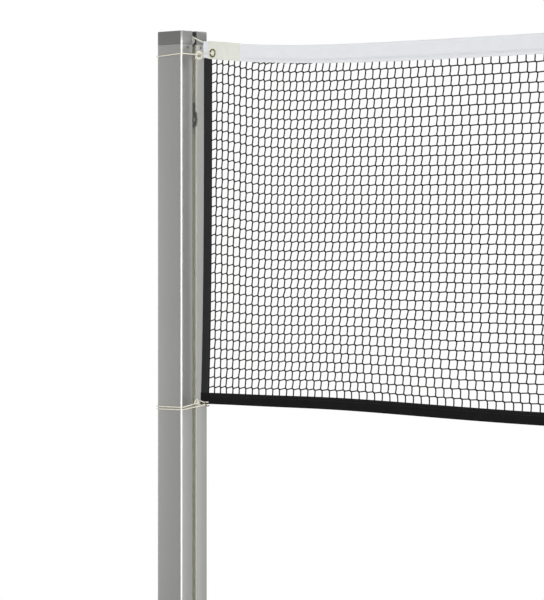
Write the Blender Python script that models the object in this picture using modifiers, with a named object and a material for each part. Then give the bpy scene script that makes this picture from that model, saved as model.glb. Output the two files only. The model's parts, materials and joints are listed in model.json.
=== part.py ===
"""Badminton net tied between two slotted aluminium posts, at real size, in metres.

The origin is on the floor midway between the posts. X runs along the net, Y through it and Z up.
The posts stand in floor sockets, so they reach below the floor. Each end of the net is modelled in
an end frame: its origin is on the post's centre line at floor level and its x points to the net.
The right end is the left end turned half round, as two equal posts facing each other are.
"""
import math

import bmesh
import bpy
from mathutils import Vector

# Net
NET_LENGTH = 6.020
NET_DEPTH = 0.769
NET_END_HEIGHT = 1.555
NET_SAG = 0.031            # how much lower the top edge is at the net's middle
NET_GAP = 0.030            # from the post's face to the net's upper corner
EDGE_LEAN = 0.009          # how much nearer the post the lower corner is drawn
HEAD_LIFT = 0.0245         # extra height of the top edge where the cord leaves for the roller
HEAD_LIFT_REACH = 0.195
HEAD_LIFT_BEND = 1.3       # how level the edge stays before it falls, 1 for not at all
FOOT_LIFT = 0.0305         # extra height of the bottom edge at the lower tie
FOOT_LIFT_REACH = 0.770
FOOT_LIFT_BEND = 2.5

# Mesh of the netting, drawn here with coarse gaps
MESH_COLUMNS = 42
MESH_ROWS = 6
MESH_STRAND = 0.0014
MESH_TUCK = 0.004          # how far the mesh reaches into its tapes

# Tapes, folded double over a cord or over the mesh
TOP_TAPE_DEPTH = 0.039
BOTTOM_TAPE_DEPTH = 0.024
SIDE_TAPE_DEPTH = 0.025
TAPE_SHEET = 0.0007
HEAD_SHOULDER = 0.004      # from below a tape's cord to where its two leaves lie close
FOOT_SHOULDER = 0.003
SIDE_SHOULDER = 0.001
PATCH_START = 0.015        # from the net's end
PATCH_LENGTH = 0.097
TAPE_STATIONS = 28         # along the net, for the tapes and the cords in them
SIDE_TAPE_STATIONS = 8
FOLD_SEGMENTS = 6          # round the crown of a folded tape

# Cords
HEAD_CORD_RADIUS = 0.0015
FOOT_CORD_RADIUS = 0.0011
TIE_RADIUS = 0.0014
FOOT_LOOP_RADIUS = 0.0030
FOOT_LOOP_CORD_RADIUS = 0.00105

# Grommet
GROMMET_RADIUS = 0.0093
GROMMET_HOLE_RADIUS = 0.0060
GROMMET_WALL = 0.0005
GROMMET_FLANGE = 0.0010
GROMMET_FROM_END = 0.029
GROMMET_DROP = 0.0255      # from the tape's top edge
GROMMET_CURL = 0.0012      # width of the edge that is turned out
GROMMET_EASE = 0.0004      # rounding at the two mouths of the barrel
WASHER_THICKNESS = 0.0004

# Post extrusion
POST_SIZE = 0.076
POST_CORNER = 0.0035
POST_WALL = 0.003
POST_BELOW_NET = 0.007     # from the net's upper corners down to the post's top
POST_IN_SOCKET = 0.350
SLOT_MOUTH = 0.010
SLOT_LIP_ROUND = 0.0018
CHANNEL_WIDTH = 0.022
CHANNEL_DEPTH = 0.030      # from the post's face
CHANNEL_WEB = 0.003
CHAMBER_CORNER = 0.0015
CORNER_SEGMENTS = 5
SMALL_CORNER_SEGMENTS = 3

# Entry port, the widened stretch of the slot where the slider goes in
PORT_DROP = 0.1575         # of its centre below the post's top
PORT_LENGTH = 0.031
PORT_WIDENING = 0.004

# Post cap and foot plug
CAP_HEIGHT = 0.029
CAP_TAPER = 0.0015
CAP_RIM_SEGMENTS = 2
CAP_LEGS = 0.020
PLUG_FLANGE = 0.004
PLUG_LEGS = 0.025

# Head roller
ROLLER_RISE = 0.010        # of its axis above the post's top
ROLLER_INSET = 0.014       # from the post's face to the roller's axis
ROLLER_PITCH_RADIUS = 0.009
ROLLER_RIM_RADIUS = 0.0105
ROLLER_WIDTH = 0.008
ROLLER_RIM = 0.0012
ROLLER_ROOM = 0.002        # between the roller and the cap's slot, behind it and at each side
PIN_RADIUS = 0.0025
PIN_SEAT = 0.008           # how deep the pin stands in the cap's near wall

# Cap screws
CAP_SCREW_DROP = 0.0055    # below the post's top
CAP_SCREW_SPREAD = 0.0188  # from the slot's centre line
CAP_SCREW_RADIUS = 0.0018
CAP_SCREW_HEAD_RADIUS = 0.0030
CAP_SCREW_HEAD_HEIGHT = 0.0016
CAP_SCREW_LENGTH = 0.012
PAN_HEAD = ((0.5, 1.0), (0.85, 0.7), (1.0, 0.0))  # shares of the head's radius and height

# Cord slider, its clamp screw and the knot in it
SLIDER_DROP = 0.172        # of its lower end below the post's top, with the net cord tight
SLIDER_LENGTH = 0.048
SLIDER_POCKET_ROOM = 0.0024  # between the knot and the walls of its pocket
SLIDER_POCKET_ROOF = 0.0105  # from the pocket to the block's top
CLAMP_SCREW_RADIUS = 0.003
CLAMP_SCREW_RISE = 0.0125  # of its axis above the block's lower end
CLAMP_SCREW_INSET = 0.001
CLAMP_SOCKET_RADIUS = 0.0016
CLAMP_SOCKET_DEPTH = 0.004
KNOT_RADIUS = 0.0036
KNOT_HALF_HEIGHT = 0.0030

# Ties. Their rises are above the grommet's centre and above the bottom cord's loop.
UPPER_KNOT_OUT = 0.012     # from the post's face
UPPER_KNOT_RADIUS = 0.0058
UPPER_TIE_RISES = {"knot": -0.0012, "near": 0.0003, "left": -0.0030, "back": -0.0034, "far": -0.0012}
UPPER_STRAND_SPREAD = 0.8  # at the net's end, as a share of the spread at the grommet
LOWER_KNOT_OUT = 0.007
LOWER_KNOT_RADIUS = 0.0036
LOWER_TIE_RISES = {"knot": -0.0018, "near": -0.0098, "left": -0.0089, "back": -0.0085, "far": 0.0003}
SECOND_TURN_RISES = {"knot": -0.0078, "near": -0.0142, "left": -0.0138, "back": -0.0135,
                     "far": -0.0080}

# Fits
GAP = 0.0003               # between pieces that touch
SLIDE_GAP = 0.0003         # between the slider and the channel
SPIN_GAP = 0.0004          # round the roller pin

ROUND_SIDES = 20
PIN_SIDES = 16
SMALL_SIDES = 12
KNOT_RINGS = 7
CUT_OVERSHOOT = 0.004

post_half = POST_SIZE / 2
net_half = NET_LENGTH / 2
post_x = net_half + NET_GAP + post_half
net_centre_height = NET_END_HEIGHT - NET_SAG
post_top = NET_END_HEIGHT - POST_BELOW_NET
roller_height = post_top + ROLLER_RISE
cap_screw_height = post_top - CAP_SCREW_DROP
cap_slot_width = ROLLER_WIDTH + 2 * ROLLER_ROOM
net_end_x = post_half + NET_GAP
head_cord_drop = TAPE_SHEET + GAP + HEAD_CORD_RADIUS
foot_cord_rise = TAPE_SHEET + GAP + FOOT_CORD_RADIUS
leaf_gap = MESH_STRAND + 2 * GAP
roller_x = post_half - ROLLER_INSET
cord_drop_x = roller_x - ROLLER_PITCH_RADIUS
grommet_x = net_end_x + GROMMET_FROM_END
channel_back_x = post_half - CHANNEL_DEPTH
slider_low = post_top - SLIDER_DROP
slider_top = slider_low + SLIDER_LENGTH
pocket_roof = slider_top - SLIDER_POCKET_ROOF
clamp_screw_height = slider_low + CLAMP_SCREW_RISE


# Scene, materials and small helpers

def clear_scene():
    for obj in list(bpy.data.objects):
        bpy.data.objects.remove(obj, do_unlink=True)
    for block in (bpy.data.meshes, bpy.data.curves, bpy.data.materials):
        for item in list(block):
            block.remove(item)


def make_collection(name):
    collection = bpy.data.collections.new(name)
    bpy.context.scene.collection.children.link(collection)
    return collection


def make_material(name, colour, roughness, metallic=0.0):
    material = bpy.data.materials.new(name)
    material.use_nodes = True
    shader = material.node_tree.nodes["Principled BSDF"]
    shader.inputs["Base Color"].default_value = (*colour, 1.0)
    shader.inputs["Roughness"].default_value = roughness
    shader.inputs["Metallic"].default_value = metallic
    material.diffuse_color = (*colour, 1.0)
    return material


def link(obj, collection, parent=None):
    collection.objects.link(obj)
    obj.parent = parent
    return obj


def mesh_object(name, bm, collection):
    mesh = bpy.data.meshes.new(name)
    bmesh.ops.recalc_face_normals(bm, faces=bm.faces)
    bm.to_mesh(mesh)
    bm.free()
    return link(bpy.data.objects.new(name, mesh), collection)


def as_mesh(obj):
    """Replace an object by its evaluated mesh, with loose seams welded."""
    bpy.context.view_layer.update()
    evaluated = obj.evaluated_get(bpy.context.evaluated_depsgraph_get())
    mesh = bpy.data.meshes.new_from_object(evaluated)
    bm = bmesh.new()
    bm.from_mesh(mesh)
    bmesh.ops.remove_doubles(bm, verts=bm.verts, dist=0.00001)
    bm.to_mesh(mesh)
    bm.free()
    name = obj.name
    made = bpy.data.objects.new(name + "_mesh", mesh)
    made.matrix_world = obj.matrix_world
    for collection in obj.users_collection:
        collection.objects.link(made)
    bpy.data.objects.remove(obj, do_unlink=True)
    made.name = name
    return made


def shade(obj, sharp_angle=35):
    obj.data.shade_smooth()
    obj.data.set_sharp_from_angle(angle=math.radians(sharp_angle))
    return obj


def boolean(obj, other, operation):
    modifier = obj.modifiers.new(operation.lower() + "_" + other.name, "BOOLEAN")
    modifier.operation = operation
    modifier.solver = "EXACT"
    modifier.object = other
    return obj


def hide_cutter(obj):
    obj.hide_render = True
    obj.display_type = "WIRE"
    return obj


def finish(obj, material, parent=None):
    obj.data.materials.clear()
    obj.data.materials.append(material)
    obj.parent = parent
    return obj


def arc(centre_x, centre_y, radius, start_degrees, end_degrees, segments):
    points = []
    for step in range(segments + 1):
        angle = math.radians(start_degrees + (end_degrees - start_degrees) * step / segments)
        points.append((centre_x + radius * math.cos(angle), centre_y + radius * math.sin(angle)))
    return points


# Shapes

def outline_prism(name, outlines, low, high, collection):
    """A prism between two heights, on flat outlines drawn in X and Y. A second outline is a hole."""
    curve = bpy.data.curves.new(name, "CURVE")
    curve.dimensions = "2D"
    curve.fill_mode = "BOTH"
    curve.extrude = (high - low) / 2
    for outline in outlines:
        spline = curve.splines.new("POLY")
        spline.points.add(len(outline) - 1)
        spline.use_cyclic_u = True
        for point, (x, y) in zip(spline.points, outline):
            point.co = (x, y, 0.0, 1.0)
    obj = link(bpy.data.objects.new(name, curve), collection)
    obj.location.z = (low + high) / 2
    return as_mesh(obj)


def block(name, low, high, collection):
    """A box between two corners."""
    bm = bmesh.new()
    bmesh.ops.create_cube(bm, size=1.0)
    size = Vector(high) - Vector(low)
    centre = (Vector(high) + Vector(low)) / 2
    bmesh.ops.scale(bm, vec=size, verts=bm.verts)
    bmesh.ops.translate(bm, vec=centre, verts=bm.verts)
    return mesh_object(name, bm, collection)


def rod(name, start, end, radius, collection, sides=ROUND_SIDES):
    """A round bar between two points."""
    bm = bmesh.new()
    start, end = Vector(start), Vector(end)
    bmesh.ops.create_cone(bm, cap_ends=True, segments=sides, radius1=radius, radius2=radius,
                          depth=(end - start).length)
    turn = Vector((0, 0, 1)).rotation_difference(end - start).to_matrix()
    bmesh.ops.rotate(bm, cent=(0, 0, 0), matrix=turn, verts=bm.verts)
    bmesh.ops.translate(bm, vec=(start + end) / 2, verts=bm.verts)
    return mesh_object(name, bm, collection)


def turned(name, profile, place, axis, collection, sides=ROUND_SIDES):
    """A body turned about the X or Y axis through place. The profile is closed and lists
    (radius, distance along the axis), from the far end to the near end down its outside."""
    bm = bmesh.new()
    corners = [bm.verts.new((radius, 0.0, along)) for radius, along in profile]
    for index, corner in enumerate(corners):
        bm.edges.new((corner, corners[(index + 1) % len(corners)]))
    mesh = bpy.data.meshes.new(name)
    bm.to_mesh(mesh)
    bm.free()
    obj = link(bpy.data.objects.new(name, mesh), collection)
    screw = obj.modifiers.new("turn", "SCREW")
    screw.steps = sides
    screw.render_steps = sides
    screw.use_merge_vertices = True
    screw.merge_threshold = 0.00001
    obj.location = place
    obj.rotation_euler = (math.radians(-90), 0, 0) if axis == "Y" else (0, math.radians(90), 0)
    return obj


def tube(name, points, radius, collection, resolution=2, cyclic=False):
    """A round cord along a list of points."""
    curve = bpy.data.curves.new(name, "CURVE")
    curve.dimensions = "3D"
    curve.bevel_depth = radius
    curve.bevel_resolution = resolution
    curve.use_fill_caps = not cyclic
    spline = curve.splines.new("POLY")
    spline.points.add(len(points) - 1)
    spline.use_cyclic_u = cyclic
    for point, place in zip(spline.points, points):
        point.co = (*place, 1.0)
    return link(bpy.data.objects.new(name, curve), collection)


def bead(name, centre, half_sizes, collection):
    bm = bmesh.new()
    bmesh.ops.create_uvsphere(bm, u_segments=SMALL_SIDES, v_segments=KNOT_RINGS, radius=1.0)
    bmesh.ops.scale(bm, vec=half_sizes, verts=bm.verts)
    bmesh.ops.translate(bm, vec=centre, verts=bm.verts)
    return mesh_object(name, bm, collection)


def folded_sheet(name, stations, section, place, collection):
    """A strip folded double. The section lists (across, inward) from one free edge to the other,
    and place turns a station and a section point into a point in space."""
    bm = bmesh.new()
    rows = [[bm.verts.new(place(station, *point)) for point in section] for station in stations]
    for row, following in zip(rows, rows[1:]):
        for index in range(len(section) - 1):
            bm.faces.new((row[index], row[index + 1], following[index + 1], following[index]))
    obj = mesh_object(name, bm, collection)
    solidify = obj.modifiers.new("sheet thickness", "SOLIDIFY")
    solidify.thickness = TAPE_SHEET
    solidify.offset = 0.0
    solidify.use_even_offset = True
    return shade(obj)


# Lines of the net

def top_line(x):
    """Height of the net's top edge at a place along the net, measured from its middle."""
    from_end = net_half - abs(x)
    drape = NET_SAG - HEAD_LIFT
    lift = HEAD_LIFT * math.exp(-(max(from_end, 0.0) / HEAD_LIFT_REACH) ** HEAD_LIFT_BEND)
    return net_centre_height + drape * (x / net_half) ** 2 + lift


def bottom_line(x):
    """Height of the net's bottom edge."""
    from_end = net_half - abs(x)
    lift = FOOT_LIFT * math.exp(-(max(from_end, 0.0) / FOOT_LIFT_REACH) ** FOOT_LIFT_BEND)
    return net_centre_height - NET_DEPTH + lift


def from_middle(end_x):
    """Distance from the net's middle of a place given in the end frame."""
    return post_x - end_x


def edge_x(rise):
    """The net's outer edge in the end frame, at a share of its height from bottom to top."""
    return net_end_x - EDGE_LEAN * (1.0 - rise)


def panel_low(x):
    return bottom_line(x) + BOTTOM_TAPE_DEPTH


def panel_high(x):
    return top_line(x) - TOP_TAPE_DEPTH


def end_weighted(count, reach):
    """Stations from -reach to reach, closer together near the two ends."""
    return [reach * math.sin(math.pi * (step / count - 0.5)) for step in range(count + 1)]


def patch_stations():
    """Distances from the net's end of the patch's sections: its two ends, and the tape's own
    stations between them, so that the patch and the tape lie along one line."""
    last = PATCH_START + PATCH_LENGTH
    tape = [net_half - x for x in reversed(end_weighted(TAPE_STATIONS, net_half))]
    return [PATCH_START] + [place for place in tape if PATCH_START < place < last] + [last]


def head_stations():
    """Stations of the top tape and its cord, with the ends of the two patches among them."""
    patch_ends = [net_half - PATCH_START, net_half - PATCH_START - PATCH_LENGTH]
    mirrored = [-x for x in patch_ends]
    return sorted(end_weighted(TAPE_STATIONS, net_half) + patch_ends + mirrored)


def fold_section(depth, cord_radius, gap_between, shoulder, extra=0.0):
    """Section of a tape folded over a cord: (across, inward) at the middle of its thickness.
    Extra is how far the whole section stands out from the tape that it wraps."""
    crown = cord_radius + GAP + TAPE_SHEET / 2 + extra
    leaf = gap_between / 2 + TAPE_SHEET / 2 + extra
    centre = cord_radius + GAP + TAPE_SHEET
    over = [(crown * math.cos(angle), centre - crown * math.sin(angle))
            for angle in (math.pi * step / FOLD_SEGMENTS for step in range(FOLD_SEGMENTS + 1))]
    far_side = [(leaf, depth), (leaf, centre + shoulder)]
    near_side = [(-leaf, centre + shoulder), (-leaf, depth)]
    return far_side + over + near_side


# Post and what is in it

def post_outline():
    """The outside of the extrusion, in through the slot's mouth and round its channel."""
    half = post_half
    mouth = SLOT_MOUTH / 2
    lip = SLOT_LIP_ROUND
    inner = half - POST_WALL
    corner = half - POST_CORNER
    points = [(inner, -mouth)]
    points += arc(half - lip, -mouth - lip, lip, 90, 0, SMALL_CORNER_SEGMENTS)
    points += arc(corner, -corner, POST_CORNER, 0, -90, CORNER_SEGMENTS)
    points += arc(-corner, -corner, POST_CORNER, -90, -180, CORNER_SEGMENTS)
    points += arc(-corner, corner, POST_CORNER, 180, 90, CORNER_SEGMENTS)
    points += arc(corner, corner, POST_CORNER, 90, 0, CORNER_SEGMENTS)
    points += arc(half - lip, mouth + lip, lip, 0, -90, SMALL_CORNER_SEGMENTS)
    points += [(inner, mouth), (inner, CHANNEL_WIDTH / 2)]
    points += [(channel_back_x, CHANNEL_WIDTH / 2), (channel_back_x, -CHANNEL_WIDTH / 2)]
    points += [(inner, -CHANNEL_WIDTH / 2)]
    return points


def chamber_outline(inset):
    """The closed chamber behind and beside the channel, drawn in by a clearance."""
    inner = post_half - POST_WALL - inset
    side = CHANNEL_WIDTH / 2 + CHANNEL_WEB + inset
    back = channel_back_x - CHANNEL_WEB - inset
    corner = inner - CHAMBER_CORNER
    points = [(inner, -side)]
    points += arc(corner, -corner, CHAMBER_CORNER, 0, -90, SMALL_CORNER_SEGMENTS)
    points += arc(-corner, -corner, CHAMBER_CORNER, -90, -180, SMALL_CORNER_SEGMENTS)
    points += arc(-corner, corner, CHAMBER_CORNER, 180, 90, SMALL_CORNER_SEGMENTS)
    points += arc(corner, corner, CHAMBER_CORNER, 90, 0, SMALL_CORNER_SEGMENTS)
    points += [(inner, side), (back, side), (back, -side)]
    return points


def rounded_square(half, corner):
    centre = half - corner
    points = arc(centre, -centre, corner, 0, -90, CORNER_SEGMENTS)
    points += arc(-centre, -centre, corner, -90, -180, CORNER_SEGMENTS)
    points += arc(-centre, centre, corner, 180, 90, CORNER_SEGMENTS)
    points += arc(centre, centre, corner, 90, 0, CORNER_SEGMENTS)
    return points


def tapered_block(name, low, high, taper, collection):
    """The post's outline as a solid block whose top rim is rounded, or its lower rim where the
    taper is negative."""
    bm = bmesh.new()
    base, top = (low, high) if taper > 0 else (high, low)
    edge = abs(taper)
    rim = math.copysign(edge, base - top)
    rings = [(base, 0.0)]
    for step in range(CAP_RIM_SEGMENTS + 1):
        angle = math.pi / 2 * step / CAP_RIM_SEGMENTS
        rings.append((top + rim * (1.0 - math.sin(angle)), edge * (1.0 - math.cos(angle))))
    loops = []
    for height, inset in rings:
        outline = rounded_square(post_half - inset, POST_CORNER)
        loops.append([bm.verts.new((x, y, height)) for x, y in outline])
    for loop, following in zip(loops, loops[1:]):
        for index in range(len(loop)):
            after = (index + 1) % len(loop)
            bm.faces.new((loop[index], loop[after], following[after], following[index]))
    bm.faces.new(loops[0])
    bm.faces.new(loops[-1])
    return mesh_object(name, bm, collection)


def make_post(parts, cutters):
    post = outline_prism("post", [post_outline(), chamber_outline(0.0)], -POST_IN_SOCKET,
                         post_top, parts)
    side = SLOT_MOUTH / 2
    middle = post_top - PORT_DROP
    port = rod("port_cutter", (post_half - POST_WALL - CUT_OVERSHOOT / 2, side, middle),
               (post_half + CUT_OVERSHOOT, side, middle), 1.0, cutters)
    for vertex in port.data.vertices:
        vertex.co.y = side + (vertex.co.y - side) * PORT_WIDENING
        vertex.co.z = middle + (vertex.co.z - middle) * PORT_LENGTH / 2
    boolean(post, hide_cutter(port), "DIFFERENCE")
    boolean(post, screw_holes("post_screw_cutter", CAP_SCREW_RADIUS + GAP, cutters), "DIFFERENCE")
    return shade(post)


def screw_holes(name, radius, cutters):
    """Both cap screws' holes as one cutter, from outside the post's face into the cap's legs."""
    start = post_half + CUT_OVERSHOOT
    end = post_half - CAP_SCREW_LENGTH - GAP
    first = rod(name, (start, -CAP_SCREW_SPREAD, cap_screw_height),
                (end, -CAP_SCREW_SPREAD, cap_screw_height), radius, cutters, sides=SMALL_SIDES)
    mirror = first.modifiers.new("other screw", "MIRROR")
    mirror.use_axis = (False, True, False)
    mirror.merge_threshold = 0.00001
    return hide_cutter(first)


def make_post_cap(parts, cutters):
    cap = tapered_block("post_cap", post_top + GAP, post_top + CAP_HEIGHT, CAP_TAPER, parts)
    legs = outline_prism("cap_legs", [chamber_outline(GAP)], post_top - CAP_LEGS,
                         post_top + GAP + CAP_HEIGHT / 4, cutters)
    slot_back = roller_x - ROLLER_RIM_RADIUS - ROLLER_ROOM
    slot = block("cap_slot_cutter", (slot_back, -cap_slot_width / 2, post_top - GAP),
                 (post_half + CUT_OVERSHOOT, cap_slot_width / 2, post_top + CAP_HEIGHT + CUT_OVERSHOOT),
                 cutters)
    bore = rod("cap_pin_cutter", (roller_x, -cap_slot_width / 2 - PIN_SEAT - GAP, roller_height),
               (roller_x, post_half + CUT_OVERSHOOT, roller_height), PIN_RADIUS + GAP, cutters,
               sides=PIN_SIDES)
    boolean(cap, hide_cutter(legs), "UNION")
    boolean(cap, hide_cutter(slot), "DIFFERENCE")
    boolean(cap, hide_cutter(bore), "DIFFERENCE")
    boolean(cap, screw_holes("cap_screw_cutter", CAP_SCREW_RADIUS + GAP, cutters), "DIFFERENCE")
    return shade(cap)


def make_foot_plug(parts, cutters):
    bottom = -POST_IN_SOCKET
    plug = tapered_block("foot_plug", bottom - PLUG_FLANGE, bottom - GAP, -CAP_TAPER, parts)
    legs = outline_prism("plug_legs", [chamber_outline(GAP)], bottom - PLUG_FLANGE / 2,
                         bottom + PLUG_LEGS, cutters)
    boolean(plug, hide_cutter(legs), "UNION")
    return shade(plug)


def make_head_roller(parts):
    """Grooved wheel. Its groove is a half round, a clearance larger than the cord."""
    half = ROLLER_WIDTH / 2
    bore = PIN_RADIUS + SPIN_GAP
    groove = half - ROLLER_RIM
    floor = ROLLER_PITCH_RADIUS - HEAD_CORD_RADIUS - GAP
    profile = [(bore, half), (ROLLER_RIM_RADIUS, half), (ROLLER_RIM_RADIUS, groove)]
    for step in range(1, 6):
        angle = math.pi * step / 6
        depth = ROLLER_RIM_RADIUS - floor
        profile.append((ROLLER_RIM_RADIUS - depth * math.sin(angle), groove * math.cos(angle)))
    profile += [(ROLLER_RIM_RADIUS, -groove), (ROLLER_RIM_RADIUS, -half), (bore, -half)]
    return shade(turned("head_roller", profile, (roller_x, 0.0, roller_height), "Y", parts))


def make_roller_pin(parts):
    start = -cap_slot_width / 2 - PIN_SEAT
    pin = rod("roller_pin", (roller_x, start, roller_height), (roller_x, post_half - GAP, roller_height),
              PIN_RADIUS, parts, sides=PIN_SIDES)
    return shade(pin)


def make_cap_screw(name, side, parts):
    """Pan-headed screw on one side of the slot."""
    top = CAP_SCREW_HEAD_HEIGHT
    profile = [(CAP_SCREW_HEAD_RADIUS * out, top * up) for out, up in PAN_HEAD]
    profile += [(CAP_SCREW_RADIUS, 0.0), (CAP_SCREW_RADIUS, -CAP_SCREW_LENGTH)]
    rod_end = [(0.0, -CAP_SCREW_LENGTH), (0.0, top)]
    place = (post_half + GAP, side * CAP_SCREW_SPREAD, cap_screw_height)
    return shade(turned(name, profile + rod_end, place, "X", parts, sides=SMALL_SIDES))


def make_cord_slider(parts, cutters):
    """Block in the channel, with a bore and a pocket for the cord and a bore for the clamp screw,
    which is all of it that reaches into the slot's mouth."""
    back = channel_back_x + SLIDE_GAP
    front = post_half - POST_WALL - SLIDE_GAP
    half = CHANNEL_WIDTH / 2 - SLIDE_GAP
    slider = block("cord_slider", (back, -half, slider_low), (front, half, slider_top), parts)
    bore = rod("slider_bore_cutter", (cord_drop_x, 0, pocket_roof - CUT_OVERSHOOT),
               (cord_drop_x, 0, slider_top + CUT_OVERSHOOT), HEAD_CORD_RADIUS + SPIN_GAP, cutters,
               sides=SMALL_SIDES)
    reach = KNOT_RADIUS + SLIDER_POCKET_ROOM
    floor = pocket_roof - 2 * (KNOT_HALF_HEIGHT + SLIDER_POCKET_ROOM)
    pocket = block("slider_pocket_cutter", (back - CUT_OVERSHOOT, -reach, floor),
                   (cord_drop_x + reach, reach, pocket_roof), cutters)
    thread = rod("slider_thread_cutter", (back - CUT_OVERSHOOT, 0, clamp_screw_height),
                 (front + CUT_OVERSHOOT, 0, clamp_screw_height), CLAMP_SCREW_RADIUS + GAP, cutters,
                 sides=PIN_SIDES)
    for cutter in (bore, pocket, thread):
        boolean(slider, hide_cutter(cutter), "DIFFERENCE")
    return shade(slider)


def make_clamp_screw(parts, cutters):
    height = clamp_screw_height
    tip = channel_back_x + SLIDE_GAP
    face = post_half - CLAMP_SCREW_INSET
    screw = rod("clamp_screw", (tip, 0, height), (face, 0, height), CLAMP_SCREW_RADIUS, parts,
                sides=PIN_SIDES)
    socket = rod("clamp_socket_cutter", (face - CLAMP_SOCKET_DEPTH, 0, height),
                 (face + CUT_OVERSHOOT, 0, height), CLAMP_SOCKET_RADIUS, cutters, sides=6)
    boolean(screw, hide_cutter(socket), "DIFFERENCE")
    return shade(screw)


def make_stopper_knot(parts):
    centre = (cord_drop_x, 0.0, pocket_roof - 2 * GAP - KNOT_HALF_HEIGHT)
    return shade(bead("stopper_knot", centre, (KNOT_RADIUS, KNOT_RADIUS, KNOT_HALF_HEIGHT), parts), 60)


def make_cord_drop(parts):
    top = roller_height - GAP
    points = [(cord_drop_x, 0, top), (cord_drop_x, 0, pocket_roof - GAP)]
    return tube("cord_drop", points, HEAD_CORD_RADIUS, parts)


# Ties

def tie_heights(level, rises):
    return {place: level + rise for place, rise in rises.items()}


def turn_round_post(knot_out, heights):
    """A cord's path from its knot once round the post and back, in the end frame."""
    corner = post_half - POST_CORNER
    radius = POST_CORNER + GAP + TIE_RADIUS
    start = (post_half + knot_out, -TIE_RADIUS - GAP, heights["knot"])
    end = (start[0], -start[1], start[2])
    away_x = start[0] - corner
    away_y = start[1] + corner
    reach = math.hypot(away_x, away_y)
    slant = math.degrees(math.acos(radius / reach) - math.atan2(away_y, away_x))
    path = [start]
    turns = [((corner, -corner), -slant, -90, heights["near"]),
             ((-corner, -corner), -90, -180, heights["left"]),
             ((-corner, corner), 180, 90, heights["back"]),
             ((corner, corner), 90, slant, heights["far"])]
    for (x, y), first, last, height in turns:
        path += [(px, py, height) for px, py in arc(x, y, radius, first, last, SMALL_CORNER_SEGMENTS)]
    return path + [end]


def doubled_strand(knot, near_side, height):
    """A cord's path out of a knot along its near side, through to its far side and back."""
    beside = TIE_RADIUS + GAP
    far_side = [(x, -y) for x, y in reversed(near_side)]
    middle = [(x, y, height) for x, y in near_side + far_side]
    return [(knot[0], -beside, knot[2])] + middle + [(knot[0], beside, knot[2])]


def make_upper_tie(parts, cutters):
    """Once round the post, and a doubled strand through the grommet's hole."""
    heights = tie_heights(grommet_height(), UPPER_TIE_RISES)
    knot = (post_half + UPPER_KNOT_OUT, 0.0, heights["knot"])
    tie = as_mesh(tube("upper_tie", turn_round_post(UPPER_KNOT_OUT, heights), TIE_RADIUS, parts))
    clear = grommet_outside() + GAP + TIE_RADIUS
    rim_edge = grommet_x - GROMMET_HOLE_RADIUS
    bend = TIE_RADIUS + 2 * GAP
    near_side = [(net_end_x - TIE_RADIUS, -clear * UPPER_STRAND_SPREAD)]
    near_side += arc(rim_edge, -clear + bend, bend, -90, 0, 4)
    path = doubled_strand(knot, near_side, grommet_height())
    strand = as_mesh(tube("upper_tie_strand", path, TIE_RADIUS, cutters))
    size = (UPPER_KNOT_RADIUS,) * 3
    boolean(tie, hide_cutter(bead("upper_tie_knot", knot, size, cutters)), "UNION")
    boolean(tie, hide_cutter(strand), "UNION")
    return shade(tie, 50)


def foot_loop_centre():
    """The middle of the bottom cord's end loop, in the end frame."""
    x = edge_x(0.0) - GAP - FOOT_CORD_RADIUS - FOOT_LOOP_RADIUS
    return x, bottom_line(net_half) + foot_cord_rise


def make_lower_tie(parts, cutters):
    """Twice round the post, and a doubled strand through the bottom cord's loop."""
    loop_x, loop_z = foot_loop_centre()
    first = tie_heights(loop_z, LOWER_TIE_RISES)
    second = tie_heights(loop_z, SECOND_TURN_RISES)
    knot = (post_half + LOWER_KNOT_OUT, 0.0, (first["knot"] + second["knot"]) / 2)
    tie = as_mesh(tube("lower_tie", turn_round_post(LOWER_KNOT_OUT, first), TIE_RADIUS, parts))
    other = as_mesh(tube("lower_tie_second_turn", turn_round_post(LOWER_KNOT_OUT, second), TIE_RADIUS,
                         cutters))
    bar = loop_x - FOOT_LOOP_RADIUS
    bend = FOOT_CORD_RADIUS + 2 * GAP + TIE_RADIUS
    path = doubled_strand(knot, arc(bar, 0.0, bend, -90, -15, 4), loop_z)
    strand = as_mesh(tube("lower_tie_strand", path, TIE_RADIUS, cutters))
    size = (LOWER_KNOT_RADIUS,) * 3
    boolean(tie, hide_cutter(bead("lower_tie_knot", knot, size, cutters)), "UNION")
    boolean(tie, hide_cutter(other), "UNION")
    boolean(tie, hide_cutter(strand), "UNION")
    return shade(tie, 50)


# Ends of the net

def side_tape_section():
    """The side tape is folded over the mesh alone, so its crown is as wide as its leaves."""
    return fold_section(SIDE_TAPE_DEPTH, leaf_gap / 2 - GAP, leaf_gap, SIDE_SHOULDER)


def make_side_tape(parts):
    def place(rise, across, inward):
        x = edge_x(rise) + inward
        low = panel_low(from_middle(x)) + GAP
        high = panel_high(from_middle(x)) - GAP
        return (x, across, low + (high - low) * rise)

    stations = [step / SIDE_TAPE_STATIONS for step in range(SIDE_TAPE_STATIONS + 1)]
    return folded_sheet("side_tape", stations, side_tape_section(), place, parts)


def tape_half_thickness():
    """Half the thickness of the folded top tape below its crown."""
    return leaf_gap / 2 + TAPE_SHEET


def grommet_seat():
    """How far the patch's faces stand from the middle of the net at the grommet."""
    return tape_half_thickness() + GAP + TAPE_SHEET


def grommet_outside():
    """How far the grommet's flanges reach from the middle of the net."""
    return grommet_seat() + GAP + GROMMET_FLANGE


def grommet_height():
    return top_line(from_middle(grommet_x)) - GROMMET_DROP


def grommet_cutter(name, x, cutters):
    radius = GROMMET_HOLE_RADIUS + GROMMET_WALL + GAP
    reach = grommet_outside() + CUT_OVERSHOOT
    return hide_cutter(rod(name, (x, -reach, grommet_height()), (x, reach, grommet_height()),
                           radius, cutters, sides=ROUND_SIDES))


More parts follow.
